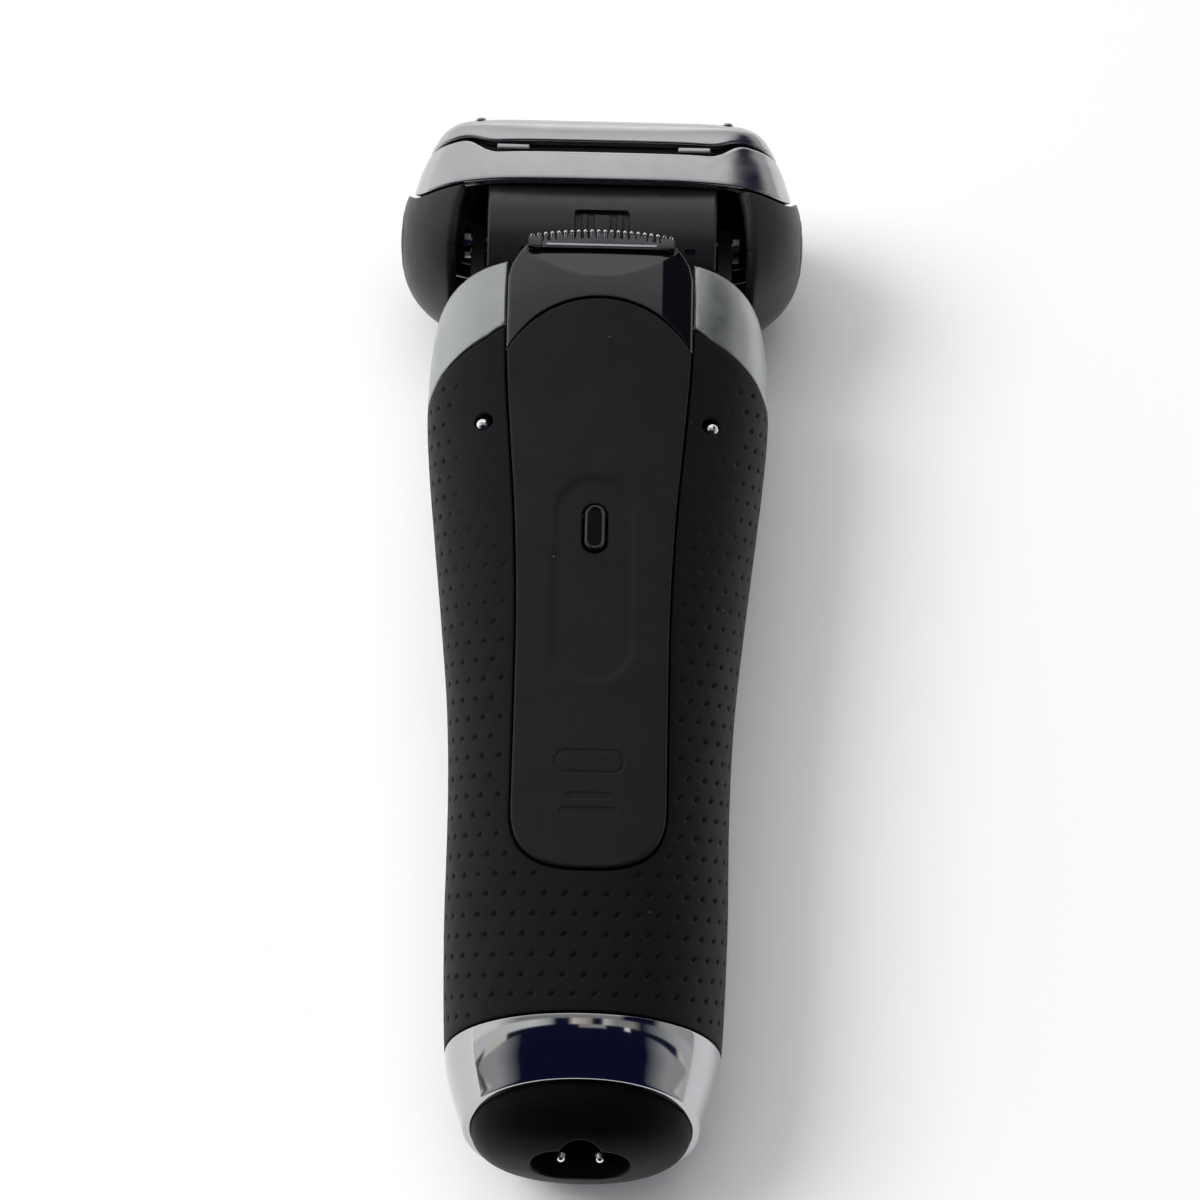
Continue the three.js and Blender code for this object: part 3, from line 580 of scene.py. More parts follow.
SLOT_FINISHES = {
    "satin_silver": ((0.4, 0.42, 0.4), 0.34, dict(metallic=0.9, grain=0.0006, grain_size=0.12, shade=0.04)),
    "chrome_band": ((0.72, 0.73, 0.74), 0.045, dict(metallic=1, uneven=0.015, shade=0.02)),
    "grip_rubber": ((0.0024, 0.0025, 0.0028), 0.58,
                    dict(specular=0.22, grain=0.006, grain_size=0.16, specks=0.018)),
    "soft_pad": ((0.0056, 0.0068, 0.0074), 0.58,
                 dict(specular=0.24, grain=0.004, grain_size=0.14, specks=0.02)),
    "housing": ((0.0095, 0.0097, 0.0102), 0.42, dict(grain=0.003, grain_size=0.16)),
    "dark_plastic": ((0.0012, 0.0012, 0.0014), 0.46, dict(specular=0.1, grain=0.003, grain_size=0.2)),
    "gloss_black": ((0.004, 0.004, 0.0045), 0.07, dict(specular=0.9, uneven=0.02)),
    "blade_steel": ((0.5, 0.51, 0.52), 0.24,
                    dict(metallic=1, grain=0.002, grain_size=0.1, stretch=(0.15, 1, 1))),
    "foil_metal": ((0.6, 0.6, 0.58), 0.26, dict(metallic=1, shade=0.05)),
    "contact_metal": ((0.88, 0.87, 0.83), 0.14, dict(metallic=1, shade=0.06)),
    "motor_iron": ((0.2, 0.2, 0.2), 0.5, dict(metallic=0.8, stretch=(1, 0.1, 1), shade=0.3, patch=1)),
    "coil_copper": ((0.6, 0.27, 0.12), 0.3, dict(metallic=0.9, stretch=(0.1, 1, 1), patch=0.5, shade=0.35)),
    "board_green": ((0.015, 0.09, 0.035), 0.4, dict(coat=0.2, shade=0.25, patch=2)),
    "cell_wrap": ((0.04, 0.14, 0.34), 0.35, dict(coat=0.2)),
}
FINISH = {name: material(name, color, gloss, **more) for name, (color, gloss, more) in SLOT_FINISHES.items()}
# A dark copy of the blade steel that paints shade onto the comb's fingers and most of the inner blade.
PAINTED_SHADE_STEEL = material("painted_shade_steel", (0.09, 0.09, 0.1), 0.3, metallic=1)
CORE_PLASTIC = material("core_plastic", (0.012, 0.012, 0.0125), 0.3, specular=1.0, grain=0.002,
                        grain_size=0.16)
RING_CHROME = material("ring_chrome", (0.5, 0.51, 0.52), 0.06, metallic=1, uneven=0.015, shade=0.02)
HEAD_CHROME = material("head_chrome", (0.5, 0.505, 0.51), 0.2, metallic=1, uneven=0.05, shade=0.04,
                       grain=0.0004, grain_size=0.1)


def dress_cad_nodes():
    """Every CAD node that stays in view gets its slot's finish and smooth shading round its curves."""
    for part in frame["record"]["subparts"]:
        mesh = nodes[part["node"]].data
        mesh.materials.clear()
        mesh.materials.append(FINISH[part["material_slot"]])
        mesh.shade_smooth()
        mesh.set_sharp_from_angle(angle=math.radians(30))


# ---- handle ----
def seam_height(y, shift=0.0):
    """Height of the seam between the grip and the front shell, seen from the side."""
    first = bezier((92, 12 - shift), (108, 12 - shift), (118.6 + shift, 14), (121.4 + shift, 20.8 - shift))
    second = bezier(first[-1], (122.2 + shift, 25), (123.4 + shift, 29), (127.6 + shift, 32.6))
    line = np.concatenate([first, second[1:], [(139 + shift, 38), (150 + shift, 44)]])
    return np.interp(y, line[:, 0], line[:, 1])


def girth_table():
    """Angle round the handle for each station and each distance along the skin from its middle line."""
    stations, phis = np.linspace(4, 150, 147), np.linspace(0, math.pi, 500)
    distances = np.linspace(0, 80, 321)
    table = []
    for station in stations:
        x, z = superellipse(phis, half_width(station), half_depth(station), squareness(station))
        points = np.stack([x, z], -1)
        run = np.r_[0, np.cumsum(np.linalg.norm(np.diff(points, axis=0), axis=1))]
        table.append(np.interp(distances, run, phis))
    return np.array(table)


GIRTH = girth_table()


def girth_angle(distance, station):
    """Angle from the handle's middle line at a signed distance along the skin."""
    i, j = np.clip(station - 4, 0, 145.999), np.clip(np.abs(distance) * 4, 0, 319.999)
    i0, j0 = i.astype(int), j.astype(int)
    s, t = i - i0, j - j0
    angle = ((GIRTH[i0, j0] * (1 - t) + GIRTH[i0, j0 + 1] * t) * (1 - s)
             + (GIRTH[i0 + 1, j0] * (1 - t) + GIRTH[i0 + 1, j0 + 1] * t) * s)
    return np.sign(distance) * angle


SLOT = slider_outline(GAP, 152)


def in_slot(p, uv):
    """Positive inside the slider's slot in the back of the handle."""
    out = np.full(len(p), -5.0)
    near = (p[:, 2] > 20) & (np.abs(p[:, 0]) < 19.5) & (p[:, 1] > 33)
    out[near] = -polygon_distance(SLOT, p[near, 0], p[near, 1])
    return out


def at_contacts(p, uv):
    return np.where(p[:, 2] > 20, 1.45 - np.hypot(np.abs(p[:, 0]) - CONTACT_X, p[:, 1] - CONTACT_Y), -5)


def below_shells(p, uv):
    return RING_TOP + GAP - uv[:, 1]


def below_rim(p, uv):
    """Positive on the ring's side of the grip's lower edge."""
    station = RING_TOP + GAP
    return station + slant(station) * (p[:, 2] - (back_z(station) + front_z(station)) / 2) - p[:, 1]


DIMPLE_ROW, DIMPLE_COLUMN, DIMPLE_FIRST, DIMPLE_R = 3.1, 3.05, 19.5, 0.62
DIMPLE_LEAN = 0.31  # rows climb towards the head as the grip falls away


class Dimples:
    """Staggered dimples on the grip, left out near its edges and shallower round the contacts."""

    def __init__(self, skin, fields):
        self.rows, self.columns, self.below = 44, 36, 4
        k, j = np.meshgrid(np.arange(self.rows) - self.below, np.arange(self.columns) - self.columns // 2,
                           indexing="ij")
        shifted = (j + (k % 2 == 0) * 0.5) * DIMPLE_COLUMN
        centre = np.stack([shifted, DIMPLE_FIRST + k * DIMPLE_ROW], -1)
        uv = centre.reshape(-1, 2).astype(float)
        room = np.min([skin.reach(f, uv) for f in fields], 0)
        p = skin.points(uv)
        inner = smooth((24.5 - np.abs(p[:, 0])) / 5) * smooth((p[:, 1] - 62) / 45)
        depth = 0.42 * (1 - 0.8 * inner) * (room > 1.25) * (p[:, 1] < 122)
        depth[np.hypot(np.abs(p[:, 0]) - CONTACT_X, p[:, 1] - CONTACT_Y) < 4.5] = 0
        self.depth = depth.reshape(k.shape)

    def nearest(self, uv):
        k = np.round((uv[:, 1] - DIMPLE_FIRST) / DIMPLE_ROW).astype(int)
        shift = np.where(k % 2 == 0, 0.5, 0)
        j = np.round(uv[:, 0] / DIMPLE_COLUMN - shift).astype(int)
        away = np.hypot(uv[:, 0] - (j + shift) * DIMPLE_COLUMN, uv[:, 1] - DIMPLE_FIRST - k * DIMPLE_ROW)
        row, column = k + self.below, j + self.columns // 2
        known = (row >= 0) & (row < self.rows) & (column >= 0) & (column < self.columns)
        row, column = np.clip(row, 0, self.rows - 1), np.clip(column, 0, self.columns - 1)
        depth = np.where(known, self.depth[row, column], 0)
        return away, depth

    def ring(self, radius):
        def measure(uv):
            away, depth = self.nearest(uv)
            return np.where(depth > 0, away - radius, 1.0)
        return measure

    def relief(self, points, uv):
        away, depth = self.nearest(uv)
        return depth * np.maximum(1 - (away / DIMPLE_R) ** 2, 0) ** 1.5


def make_grip():
    def place(u, v):
        station = v
        for _ in range(3):
            phi = girth_angle(u, station)
            station = v + DIMPLE_LEAN * (back_z(v) - handle_point(station, phi)[..., 2])
        return handle_point(station, phi)

    us = np.arange(-62, 63) * DIMPLE_COLUMN / 4
    vs = DIMPLE_FIRST + np.arange(-16, 150) * DIMPLE_ROW / 4
    skin = Skin(place, us, vs)
    fields = [below_rim, lambda p, uv: seam_height(p[:, 1]) - p[:, 2], in_slot, at_contacts]
    dimples = Dimples(skin, fields)
    solid = shell(skin, fields, [0.25, 0.35, 0.35, 0.25], WALL, relief=dimples.relief,
                  rings=[dimples.ring(0.28), dimples.ring(0.58)])
    piece("grip_skin", solid, "handle", "grip_rubber", "rear_grip")


def on_front(p, distance):
    """A distance that counts only on the front face, well away from it elsewhere."""
    return np.where(p[:, 2] < 9, distance, -5)


def make_front_shell():
    def place(u, v):
        return handle_point(v, math.pi + girth_angle(u, v))

    skin = Skin(place, np.arange(-70, 71) * 0.95, 16.5 + np.arange(-1, 131) * 1.0)
    fields = [
        below_shells,
        lambda p, uv: p[:, 2] - seam_height(p[:, 1], GAP),
        in_slot,
        lambda p, uv: HORN_R - np.hypot(p[:, 1] - PIVOT_Y, p[:, 2] - PIVOT_Z),
        lambda p, uv: on_front(p, 6.6 - np.hypot(p[:, 0], p[:, 1] - 100)),
        lambda p, uv: on_front(p, -in_stadium(0, 62, 4.6, 12.6)(p, uv)),
        lambda p, uv: on_front(p, -in_stadium(0, 130, 4.3, 6.4)(p, uv)),
    ]
    solid = shell(skin, fields, [0.25, 0.3, 0.35, 0.5, 0.3, 0.3, 0.3], WALL)
    piece("front_casing", solid, "handle", "satin_silver", "front_shell")


def make_foot_ring():
    low, high, wall, lip = RIM_Y - 0.6, RING_TOP, 1, 0.25
    turn = np.linspace(0, math.pi / 2, 5)
    rows = [(low + lip - lip * math.sin(t), lip - lip * math.cos(t)) for t in turn[::-1]]
    rows += [(y, 0) for y in np.linspace(low + lip, high - lip, 26)[1:]]
    rows += [(high - lip + lip * math.sin(t), lip - lip * math.cos(t)) for t in turn[1:]]
    rows += [(high, wall), ((low + high) / 2, wall), (low, wall)]
    phi = full_turn(240)
    points = np.stack([handle_point(y, phi, inset) for y, inset in rows], 1)
    count = len(rows)
    closed = np.concatenate([points, points[:, :1]], 1).reshape(-1, 3)
    faces = grid_faces(len(phi), count + 1, wrap=True)
    piece("foot_ring", (closed, faces), "handle", "chrome_band", "base_ring", finish=RING_CHROME, sharp=50)


CAP_HALF, CAP_DEPTH, CAP_BACK = 15.95, 12.05, RIM_Y + 4.2
SOCKET_FLOOR = 8.4


def socket_distance(x, z):
    """Distance to the socket's outline: a wide slot with an arched notch above it."""
    return np.minimum(stadium_distance(z, x, 19, 0, 4.4, 7.1), np.hypot(x, z - 22.4) - 3.1)


def make_foot_cap():
    def place(u, v):
        size = np.sin(np.clip(v, 0, 1) * math.pi / 2)
        t = 1 - np.maximum(1 - size**2.1, 0) ** (1 / 2.3)
        x, z = superellipse(u, CAP_HALF * size, CAP_DEPTH * size, 2.1)
        station = FOOT + (RIM_Y - FOOT) * np.maximum(t - 0.03, 0) / 0.97 + np.maximum(v - 1, 0) * 10
        return join_axes(x, station + slant(0) * t * z, MID_Z + z)

    us = np.linspace(-math.pi, math.pi, 181)
    vs = np.r_[np.linspace(0.015, 1, 56), 1 + (CAP_BACK - RIM_Y) / 10]
    skin = Skin(place, us, vs, wrap=True)
    solid = shell(skin, [lambda p, uv: -socket_distance(p[:, 0], p[:, 2])], 0.4,
                  lambda p: np.maximum(CAP_BACK + 0.6 - p[:, 1], 0), down=(0, 1, 0))
    reach = np.linspace(0, 12, 600)
    outline = []
    for a in full_turn(90):
        r = np.interp(0, socket_distance(reach * math.sin(a), 19 + reach * math.cos(a)), reach) + 0.25
        outline.append((19 + r * math.cos(a), r * math.sin(a)))
    points, faces = rounded_bar(outline, SOCKET_FLOOR, CAP_BACK, 0.02, 1)
    floor = on_axes(points, "y"), faces
    piece("foot_cap", stack_solids(solid, floor), "handle", "dark_plastic", "base_cap")


def make_socket_pins():
    shaft, head = 0.42, 0.78
    outline = [(0, 7.8), (shaft, 7.8), (shaft, 2.3), (shaft + 0.05, 2.2), (0.6, 2.1), (0.66, 1.95),
               (0.66, 1.7), (head - 0.05, 1.65), (head, 1.55), (head, 1.1), (head - 0.06, 0.95)]
    outline += arc(0.66, 0.66, -0.1, -math.pi / 2, 7, 0.62) + [(0, -0.04)]
    for side, name in SIDES:
        solid = lathe(outline, 32, "y", (side * 2.78, 0, 18.6))
        piece(f"plug_pin_{name}", solid, "handle", "contact_metal", f"socket_pin_{name}", weld=0.01)


def make_contacts():
    ball = 1.28
    outline = [(0, -5), (1.5, -5), (1.5, -4.3), (1.4, -4.2), (ball, -4.2)]
    outline += arc(ball, ball, 0, math.pi / 2, 10, -ball) + [(0, 0)]
    for side, name in SIDES:
        solid = lathe(outline, 36, "z", (side * CONTACT_X, CONTACT_Y, 32))
        piece(f"contact_ball_{name}", solid, "handle", "contact_metal", f"charge_contact_{name}", weld=0.01)


# ---- trimmer ----
PAD_CENTRE = PAD_TOP - PAD_ARC
THUMB = (0, 85.2, 6.4, 17.3)
PLATE = (0, 55.5, 5, 1.7, 1.6)
BARS = ((0, 50.1, 3.2, 0.55, 0.5), (0, 47.8, 4.2, 0.55, 0.5))


def plan(height, x_range, y_range, step, turn=1):
    """A skin over the XY plane with a height for each place; with turn -1 it faces down."""
    us, vs = (np.linspace(low, high, round((high - low) / step) + 1) for low, high in (x_range, y_range))
    return Skin(lambda u, v: join_axes(u, v, height(u, v)), us, vs, turn=turn)


def beyond_pad(p, uv):
    """Distance past the pad's round upper end."""
    return np.hypot(p[:, 0], np.maximum(p[:, 1] - PAD_CENTRE, 0)) - PAD_ARC


def button_hole(p, uv):
    return -in_stadium(0, BUTTON_Y, BUTTON_HALF_WIDTH + GAP, BUTTON_HALF_LENGTH + GAP)(p, uv)


def make_pad():
    def relief(p, uv):
        thumb = stadium_distance(p[:, 0], p[:, 1], *THUMB)
        bars = np.min([rectangle_distance(p[:, 0], p[:, 1], *bar) for bar in BARS], 0)
        ring = np.abs(rectangle_distance(p[:, 0], p[:, 1], *PLATE)) - 0.22
        marks = smooth(-ring / 0.2 + 0.5) + smooth(-bars / 0.2 + 0.5)
        return 0.28 * smooth(-thumb / 1.5 + 0.2) + 0.12 * marks

    ys = np.r_[np.arange(38.4, 46.4, 0.5), np.arange(46.4, 58, 0.2), np.arange(58, 133.5, 0.5)]
    skin = Skin(lambda u, v: join_axes(u, v, slider_face(u, v)), np.linspace(-15.6, 15.6, 105), ys)
    fields = [in_polygon(slider_outline(0, 137)), beyond_pad, button_hole]
    levels = [(PLATE, at) for at in (-0.32, -0.12, 0.12, 0.32)]
    levels += [(bar, at) for bar in BARS for at in (-0.1, 0.1)]
    rings = [lambda uv, mark=mark, at=at: rectangle_distance(uv[:, 0], uv[:, 1], *mark) - at
             for mark, at in levels]
    solid = shell(skin, fields, [0.4, 0.3, 0.3], 1.5, relief=relief, rings=rings, down=(0, 0, -1))
    piece("soft_slider_pad", solid, "trimmer", "soft_pad", "trimmer_pad")


CARRIER_FLOOR = profile((35, 30.2), (70, 31), (100, 31.8), (118, 32.2), (126, 33.1), (132, 34.9), (147, 34.9))
NOSE_SIDE = np.array([(14.4, 114), (14.4, 137.2), (13.9, 139.4), (13, 140.9), (11.7, 142.6)])
NOSE_OUTLINE = np.concatenate([NOSE_SIDE[:1] * [-1, 1], NOSE_SIDE, NOSE_SIDE[:0:-1] * [-1, 1]])
COMB_SEAT = (11.5, 140.7, 36.4)
NOSE_CREASE = 9.5


def nose_tip(x):
    """Station where the nose starts to tip towards the comb."""
    return 136.2 + 0.035 * x**2


def nose_face(x, y):
    """The glossy nose: a middle band between two sloping flanks, and a facet that tips towards the comb."""
    flank = np.maximum(np.abs(x) - NOSE_CREASE, 0)
    tip = np.maximum(y - nose_tip(x), 0)
    z = slider_face(x, y) - 0.16 * flank - 0.14 * tip
    return np.where((y > COMB_SEAT[1]) & (np.abs(x) < COMB_SEAT[0]), COMB_SEAT[2], z)


def make_carrier():
    skin = plan(nose_face, (-14.9, 14.9), (116, 142.8), 0.42)
    fields = [in_polygon(NOSE_OUTLINE), lambda p, uv: GAP - beyond_pad(p, uv)]
    seat = lambda uv: rectangle_distance(uv[:, 0], uv[:, 1], 0, COMB_SEAT[1] + 5, COMB_SEAT[0], 5)
    creases = [lambda uv: seat(uv) - 0.05, lambda uv: seat(uv) + 0.02,
               lambda uv: np.abs(uv[:, 0]) - NOSE_CREASE, lambda uv: uv[:, 1] - nose_tip(uv[:, 0])]
    nose = shell(skin, fields, [0.45, 0.2],
                 lambda p: p[:, 2] - np.minimum(CARRIER_FLOOR(p[:, 1]), p[:, 2] - 0.9),
                 creases=creases, down=(0, 0, -1))
    tray = plan(lambda x, y: slider_face(x, y) - 1.8, (-15, 15), (40, 133), 1.5)
    fields = [in_polygon(slider_outline(-0.6, 134, SLIDER_END + 1)), button_hole,
              lambda p, uv: p[:, 1] - 131.5]
    tray = shell(tray, fields, 0.1, lambda p: np.maximum(p[:, 2] - CARRIER_FLOOR(p[:, 1]), 0.6),
                 down=(0, 0, -1))
    piece("glossy_slider", stack_solids(nose, tray), "trimmer", "gloss_black", "trimmer_carrier", sharp=24)


def make_release_button():
    face = float(slider_face(0, BUTTON_Y))

    def height(x, y):
        inside = -stadium_distance(x, y, 0, BUTTON_Y, BUTTON_HALF_WIDTH, BUTTON_HALF_LENGTH)
        well = -stadium_distance(x, y, 0, BUTTON_Y, 1.05, 3.25)
        return face + 0.1 + 0.15 * smooth(inside / 0.3) - 0.3 * smooth(well / 0.24 + 0.5)

    skin = plan(height, (-1.8, 1.8), (BUTTON_Y - 4, BUTTON_Y + 4), 0.12)
    solid = shell(skin, [in_stadium(0, BUTTON_Y, BUTTON_HALF_WIDTH, BUTTON_HALF_LENGTH)], 0.25, 3,
                  down=(0, 0, -1))
    button = piece("slider_button", solid, "trimmer_release", "gloss_black", "trimmer_release_button")

    def in_well(x, station, z):
        return stadium_distance(x, station, 0, BUTTON_Y, 0.98, 3.18) < 0 and z > face - 1

    paint(button, in_well, FINISH["dark_plastic"])


COMB_TEETH, COMB_PITCH, COMB_DROP = 22, 1.03, 1.1


def tooth_drop(x, half=COMB_TEETH * COMB_PITCH / 2):
    """How far the tip at x lies behind the middle tip."""
    return COMB_DROP * (x / half) ** 2


def comb_outline(teeth, pitch, back, root, tip, finger):
    """A flat toothed blade whose round tips lie on a shallow arc."""
    half = teeth * pitch / 2
    outline = [(-half, back), (half, back), (half, root - COMB_DROP)]
    for i in range(teeth - 1, -1, -1):
        x = (i - (teeth - 1) / 2) * pitch
        drop = tooth_drop(x, half)
        outline.append((x + finger * 1.25, root - drop))
        outline += [(x + finger * math.cos(t), tip - finger - drop + finger * math.sin(t))
                    for t in np.linspace(0.1, math.pi - 0.1, 7)]
        outline.append((x - finger * 1.25, root - drop))
    return outline + [(-half, root - COMB_DROP)]


def make_comb():
    ball_r, block_x = 0.34, 10.3
    ball = [(ball_r * math.sin(t), -ball_r * math.cos(t)) for t in np.linspace(0, math.pi, 11)]
    ball[0], ball[-1] = (0, -ball_r), (0, ball_r)
    teeth = comb_outline(COMB_TEETH, COMB_PITCH, 141, 143.3, 144.9, 0.2)
    solids = [rounded_bar(teeth, 36.7, 37.2, 0.08, 2)]
    for i in range(COMB_TEETH):
        x = (i - (COMB_TEETH - 1) / 2) * COMB_PITCH
        solids.append(lathe(ball, 16, "y", (x, 144.56 - tooth_drop(x), 37.02)))
    for middle in (-block_x, block_x):
        block = [(middle - 1.1, 141.1), (middle + 1.1, 141.1), (middle + 1.1, 142.9), (middle - 1.1, 143.1)]
        solids.append(rounded_bar(block, 37.15, 37.95, 0.2, 3))
    comb = piece("comb_teeth", stack_solids(*solids), "trimmer", "blade_steel", "trimmer_comb", weld=0.002)

    def part_of_comb(x, station, z):
        """1 on the end blocks, 2 on the fingers, which get a dark steel as painted shade, and 3 on their
        tips, which get a bright metal as a painted highlight.
        """
        if abs(x) > 9.15 and z > 37.3:
            return 1
        return 2 if station < 144.2 - tooth_drop(x) else 3

    # The comb is one steel: its fingers and back are given a dark steel as painted shade, and its round tips
    # a bright metal as a painted highlight.
    paint(comb, part_of_comb, FINISH["gloss_black"], PAINTED_SHADE_STEEL, FINISH["contact_metal"])


def make_blade():
    teeth = rounded_bar(comb_outline(17, 1.25, 141, 142.9, 143.9, 0.25), 37.45, 37.85, 0.08, 2)
    bar = rounded_bar([(-8.6, 141.3), (8.6, 141.3), (8.6, 141.75), (-8.6, 141.75)], 37.7, 38, 0.1, 2)
    # The blade is one steel: it gets a dark steel as painted shade, and only the bar's top faces keep the
    # bright steel as a painted highlight.
    blade = piece("blade_teeth", stack_solids(teeth, bar), "trimmer_blade", "blade_steel", "trimmer_blade",
                  finish=PAINTED_SHADE_STEEL, weld=0.002)
    paint(blade, lambda x, station, z: z > 37.87, FINISH["blade_steel"])


# ---- head: y and z from the tilt axis ----
def make_core():
    straight, bend = 3.4, math.pi * CORE_R
    pocket = (0, -4.35, 4.4, 2.25)

    def place(u, v):
        turn = np.clip((v - straight) / bend, 0, 1) * math.pi
        past = np.maximum(v - straight - bend, 0)
        y = np.where(v < straight, straight - v, -CORE_R * np.sin(turn) + past)
        return join_axes(u, PIVOT_Y + y, PIVOT_Z + CORE_R * np.cos(turn))

    def marks(x, y):
        frame_line = rectangle_distance(x, y, *pocket, 0.6)
        ribs = np.minimum(rectangle_distance(x, y, 0, -5, 1.3, 2.2),
                          rectangle_distance(np.abs(x), y, 2.8, -5, 0.45, 2.2))
        slots = rectangle_distance(np.abs(x - 1), y, 13, -8.2, 0.9, 0.45, 0.1)
        arch = stadium_distance(x, y, 8, -3.4, 1.25, 4)
        return frame_line, ribs, slots, arch

    @about_axis
    def relief(x, y, z):
        frame_line, ribs, slots, arch = marks(x, y)
        sunk = 1.3 * smooth(-frame_line / 0.16) * (1 - smooth(-ribs / 0.16 + 0.5) * 0.8)
        sunk = sunk + 0.8 * smooth(-slots / 0.12)
        return np.where(z > 5, sunk + 0.05 * smooth(-arch / 0.5 + 0.5), 0)

    def mark_ring(which, at):
        field = about_axis(lambda x, y, z: np.where(z > 5, marks(x, y)[which] - at, 1.0))
        return lambda uv: field(place(uv[:, 0], uv[:, 1]), uv)

    length = straight * 2 + bend
    skin = Skin(place, np.linspace(-18.6, 18.6, 75), np.linspace(-0.3, length + 0.3, 90), turn=-1)
    fields = [lambda p, uv: np.abs(p[:, 0]) - CORE_HALF, lambda p, uv: -uv[:, 1],
              lambda p, uv: uv[:, 1] - length]
    rings = [mark_ring(*ring) for ring in ((0, 0), (0, -0.16), (1, 0.08), (1, -0.08), (2, 0), (2, -0.12))]
    solid = shell(skin, fields, [0.5, 0.2, 0.2], 1.8, relief=relief, rings=rings)
    wall_r = CORE_R - 0.7
    outline = [(straight - 0.3, -wall_r), (straight - 0.3, wall_r)]
    turn = np.linspace(math.pi / 2, math.pi * 1.5, 40)
    outline += [(wall_r * math.cos(t), wall_r * math.sin(t)) for t in turn]
    walls = []
    for low, high in ((-18.1, -16.4), (16.4, 18.1)):
        points, faces = rounded_bar(outline, low, high, 0.05, 1)
        walls.append((on_axes(points, "x") + [0, PIVOT_Y, PIVOT_Z], faces))
    piece("head_barrel", stack_solids(solid, *walls), "head", "housing", "head_core", finish=CORE_PLASTIC,
          sharp=35)


def cassette_edge(z):
    return 8 - 6.2 * smooth(np.abs(z) / 12.5)


def ear_x(r):
    return EAR_BASE + EAR_RISE * np.maximum(1 - (r / EAR_R) ** 2.6, 0) ** (1 / 1.6)


def ear_profile():
    """Radius and x along the ear's outline, by distance from its middle."""
    t = np.linspace(0, 1, 400)
    r = EAR_R * (1 - (1 - t) ** 1.6)
    x = ear_x(r)
    r, x = np.r_[r, EAR_R], np.r_[x, EAR_BASE - 1.5]
    run = np.r_[0, np.cumsum(np.hypot(np.diff(r), np.diff(x)))]
    return run, r, x


EAR_RUN, EAR_RADII, EAR_X = ear_profile()


def make_side_covers():
    def place(u, v):
        r, x = np.interp(v, EAR_RUN, EAR_RADII), np.interp(v, EAR_RUN, EAR_X)
        return join_axes(x, PIVOT_Y + r * np.cos(u), PIVOT_Z + r * np.sin(u))

    @about_axis
    def rim(x, y, z):
        return np.interp(y, [-8.1, -8, -2, 3, 3.1], [23.7, 23.6, 22.9, 21.7, 21.7]) - x

    past_edge = about_axis(lambda x, y, z: y - cassette_edge(z) + 0.4)
    around_button = about_axis(lambda x, y, z: 5.3 - np.hypot(y, z))
    skin = Skin(place, np.linspace(-math.pi, math.pi, 181), np.linspace(4.6, EAR_RUN[-1], 46), wrap=True,
                turn=-1)
    solid = shell(skin, [rim, past_edge, around_button], [1.1, 0.3, 0.3], 1.6)
    for name, made in (("right", solid), ("left", mirrored(solid))):
        piece(f"cheek_{name}", made, "head", "housing", f"side_cover_{name}")

    def cap(u, v):
        return join_axes(ear_x(np.hypot(u, v)), PIVOT_Y + u, PIVOT_Z + v)

    skin = Skin(cap, np.linspace(-5.4, 5.4, 37), np.linspace(-5.4, 5.4, 37))
    ridge = lambda p, uv: 0.12 * smooth((1.0 - np.abs(np.hypot(uv[:, 0], uv[:, 1]) - 3.2)) / 1.0)
    solid = shell(skin, [lambda p, uv: np.hypot(uv[:, 0], uv[:, 1]) - 5], 0.35, 1.6, relief=ridge)
    for name, made in (("right", solid), ("left", mirrored(solid))):
        piece(f"cheek_button_{name}", made, f"release_{name}", "housing", f"release_button_{name}")


def dipped(x, outer, middle, low):
    """Height of a cassette edge that dips between x = 16.4 and 23 on both sides."""
    dip = bezier((20 + 3, outer), (20, outer), (19.4, low), (16.4, low), 24)[::-1]
    return np.interp(np.abs(x), np.r_[dip[:, 0], 40], np.r_[dip[:, 1], middle])


def make_cassette_band():
    below = about_axis(lambda x, y, z: cassette_edge(z) - y)
    above = about_axis(lambda x, y, z: y - dipped(x, 10.4, 10.0, 7.5))
    skin = Skin(lambda u, v: head_point(v, u), np.linspace(-math.pi, math.pi, 301),
                np.linspace(154.6, 165.6, 23), wrap=True)
    solid = shell(skin, [below, above], [0.35, 0.9], 1.4)
    piece("cassette_band", solid, "cassette", "chrome_band", "cassette_frame", finish=HEAD_CHROME)


def make_foil_surround():
    edge = 168.8

    def place(u, v):
        t = np.clip((v - edge) / 2.2, 0, 1)
        half, depth = head_half(v) * (1 - t) + 22.2 * t, head_depth(v) * (1 - t) + 12.4 * t
        x, z = superellipse(u, half, depth, head_squareness(v) * (1 - t) + 16 * t)
        return join_axes(x, np.minimum(v, edge) + 0 * u, PIVOT_Z + z)

    over_brow = about_axis(lambda x, y, z: dipped(x, 10.7, 10.3, 9.3) - y)
    vs = np.r_[np.arange(162.9, 167, 0.5), np.arange(167, edge, 0.15), np.linspace(edge, edge + 2.2, 7)]
    skin = Skin(place, np.linspace(-math.pi, math.pi, 301), vs, wrap=True)
    solid = shell(skin, [over_brow, lambda p, uv: uv[:, 1] - edge - 2.2 + 1e-4], [0.35, 0.25], 1.3)
    nub_x, nub_z = 19.8, 13.2
    nub = [(0, -0.3), (0.9, -0.3)] + arc(0.9, 0.22, 0, math.pi / 2, 6) + [(0, 0.22)]
    nubs = [lathe(nub, 24, "y", (x, 168.7, PIVOT_Z + z)) for x in (-nub_x, nub_x) for z in (-nub_z, nub_z)]
    surround = piece("foil_surround", stack_solids(solid, *nubs), "cassette", "chrome_band", "foil_frame",
                     finish=HEAD_CHROME)

    def on_nub(x, station, z):
        return abs(abs(x) - nub_x) < 1 and abs(abs(z - PIVOT_Z) - nub_z) < 1 and station > 168.45

    paint(surround, on_nub, FINISH["satin_silver"])


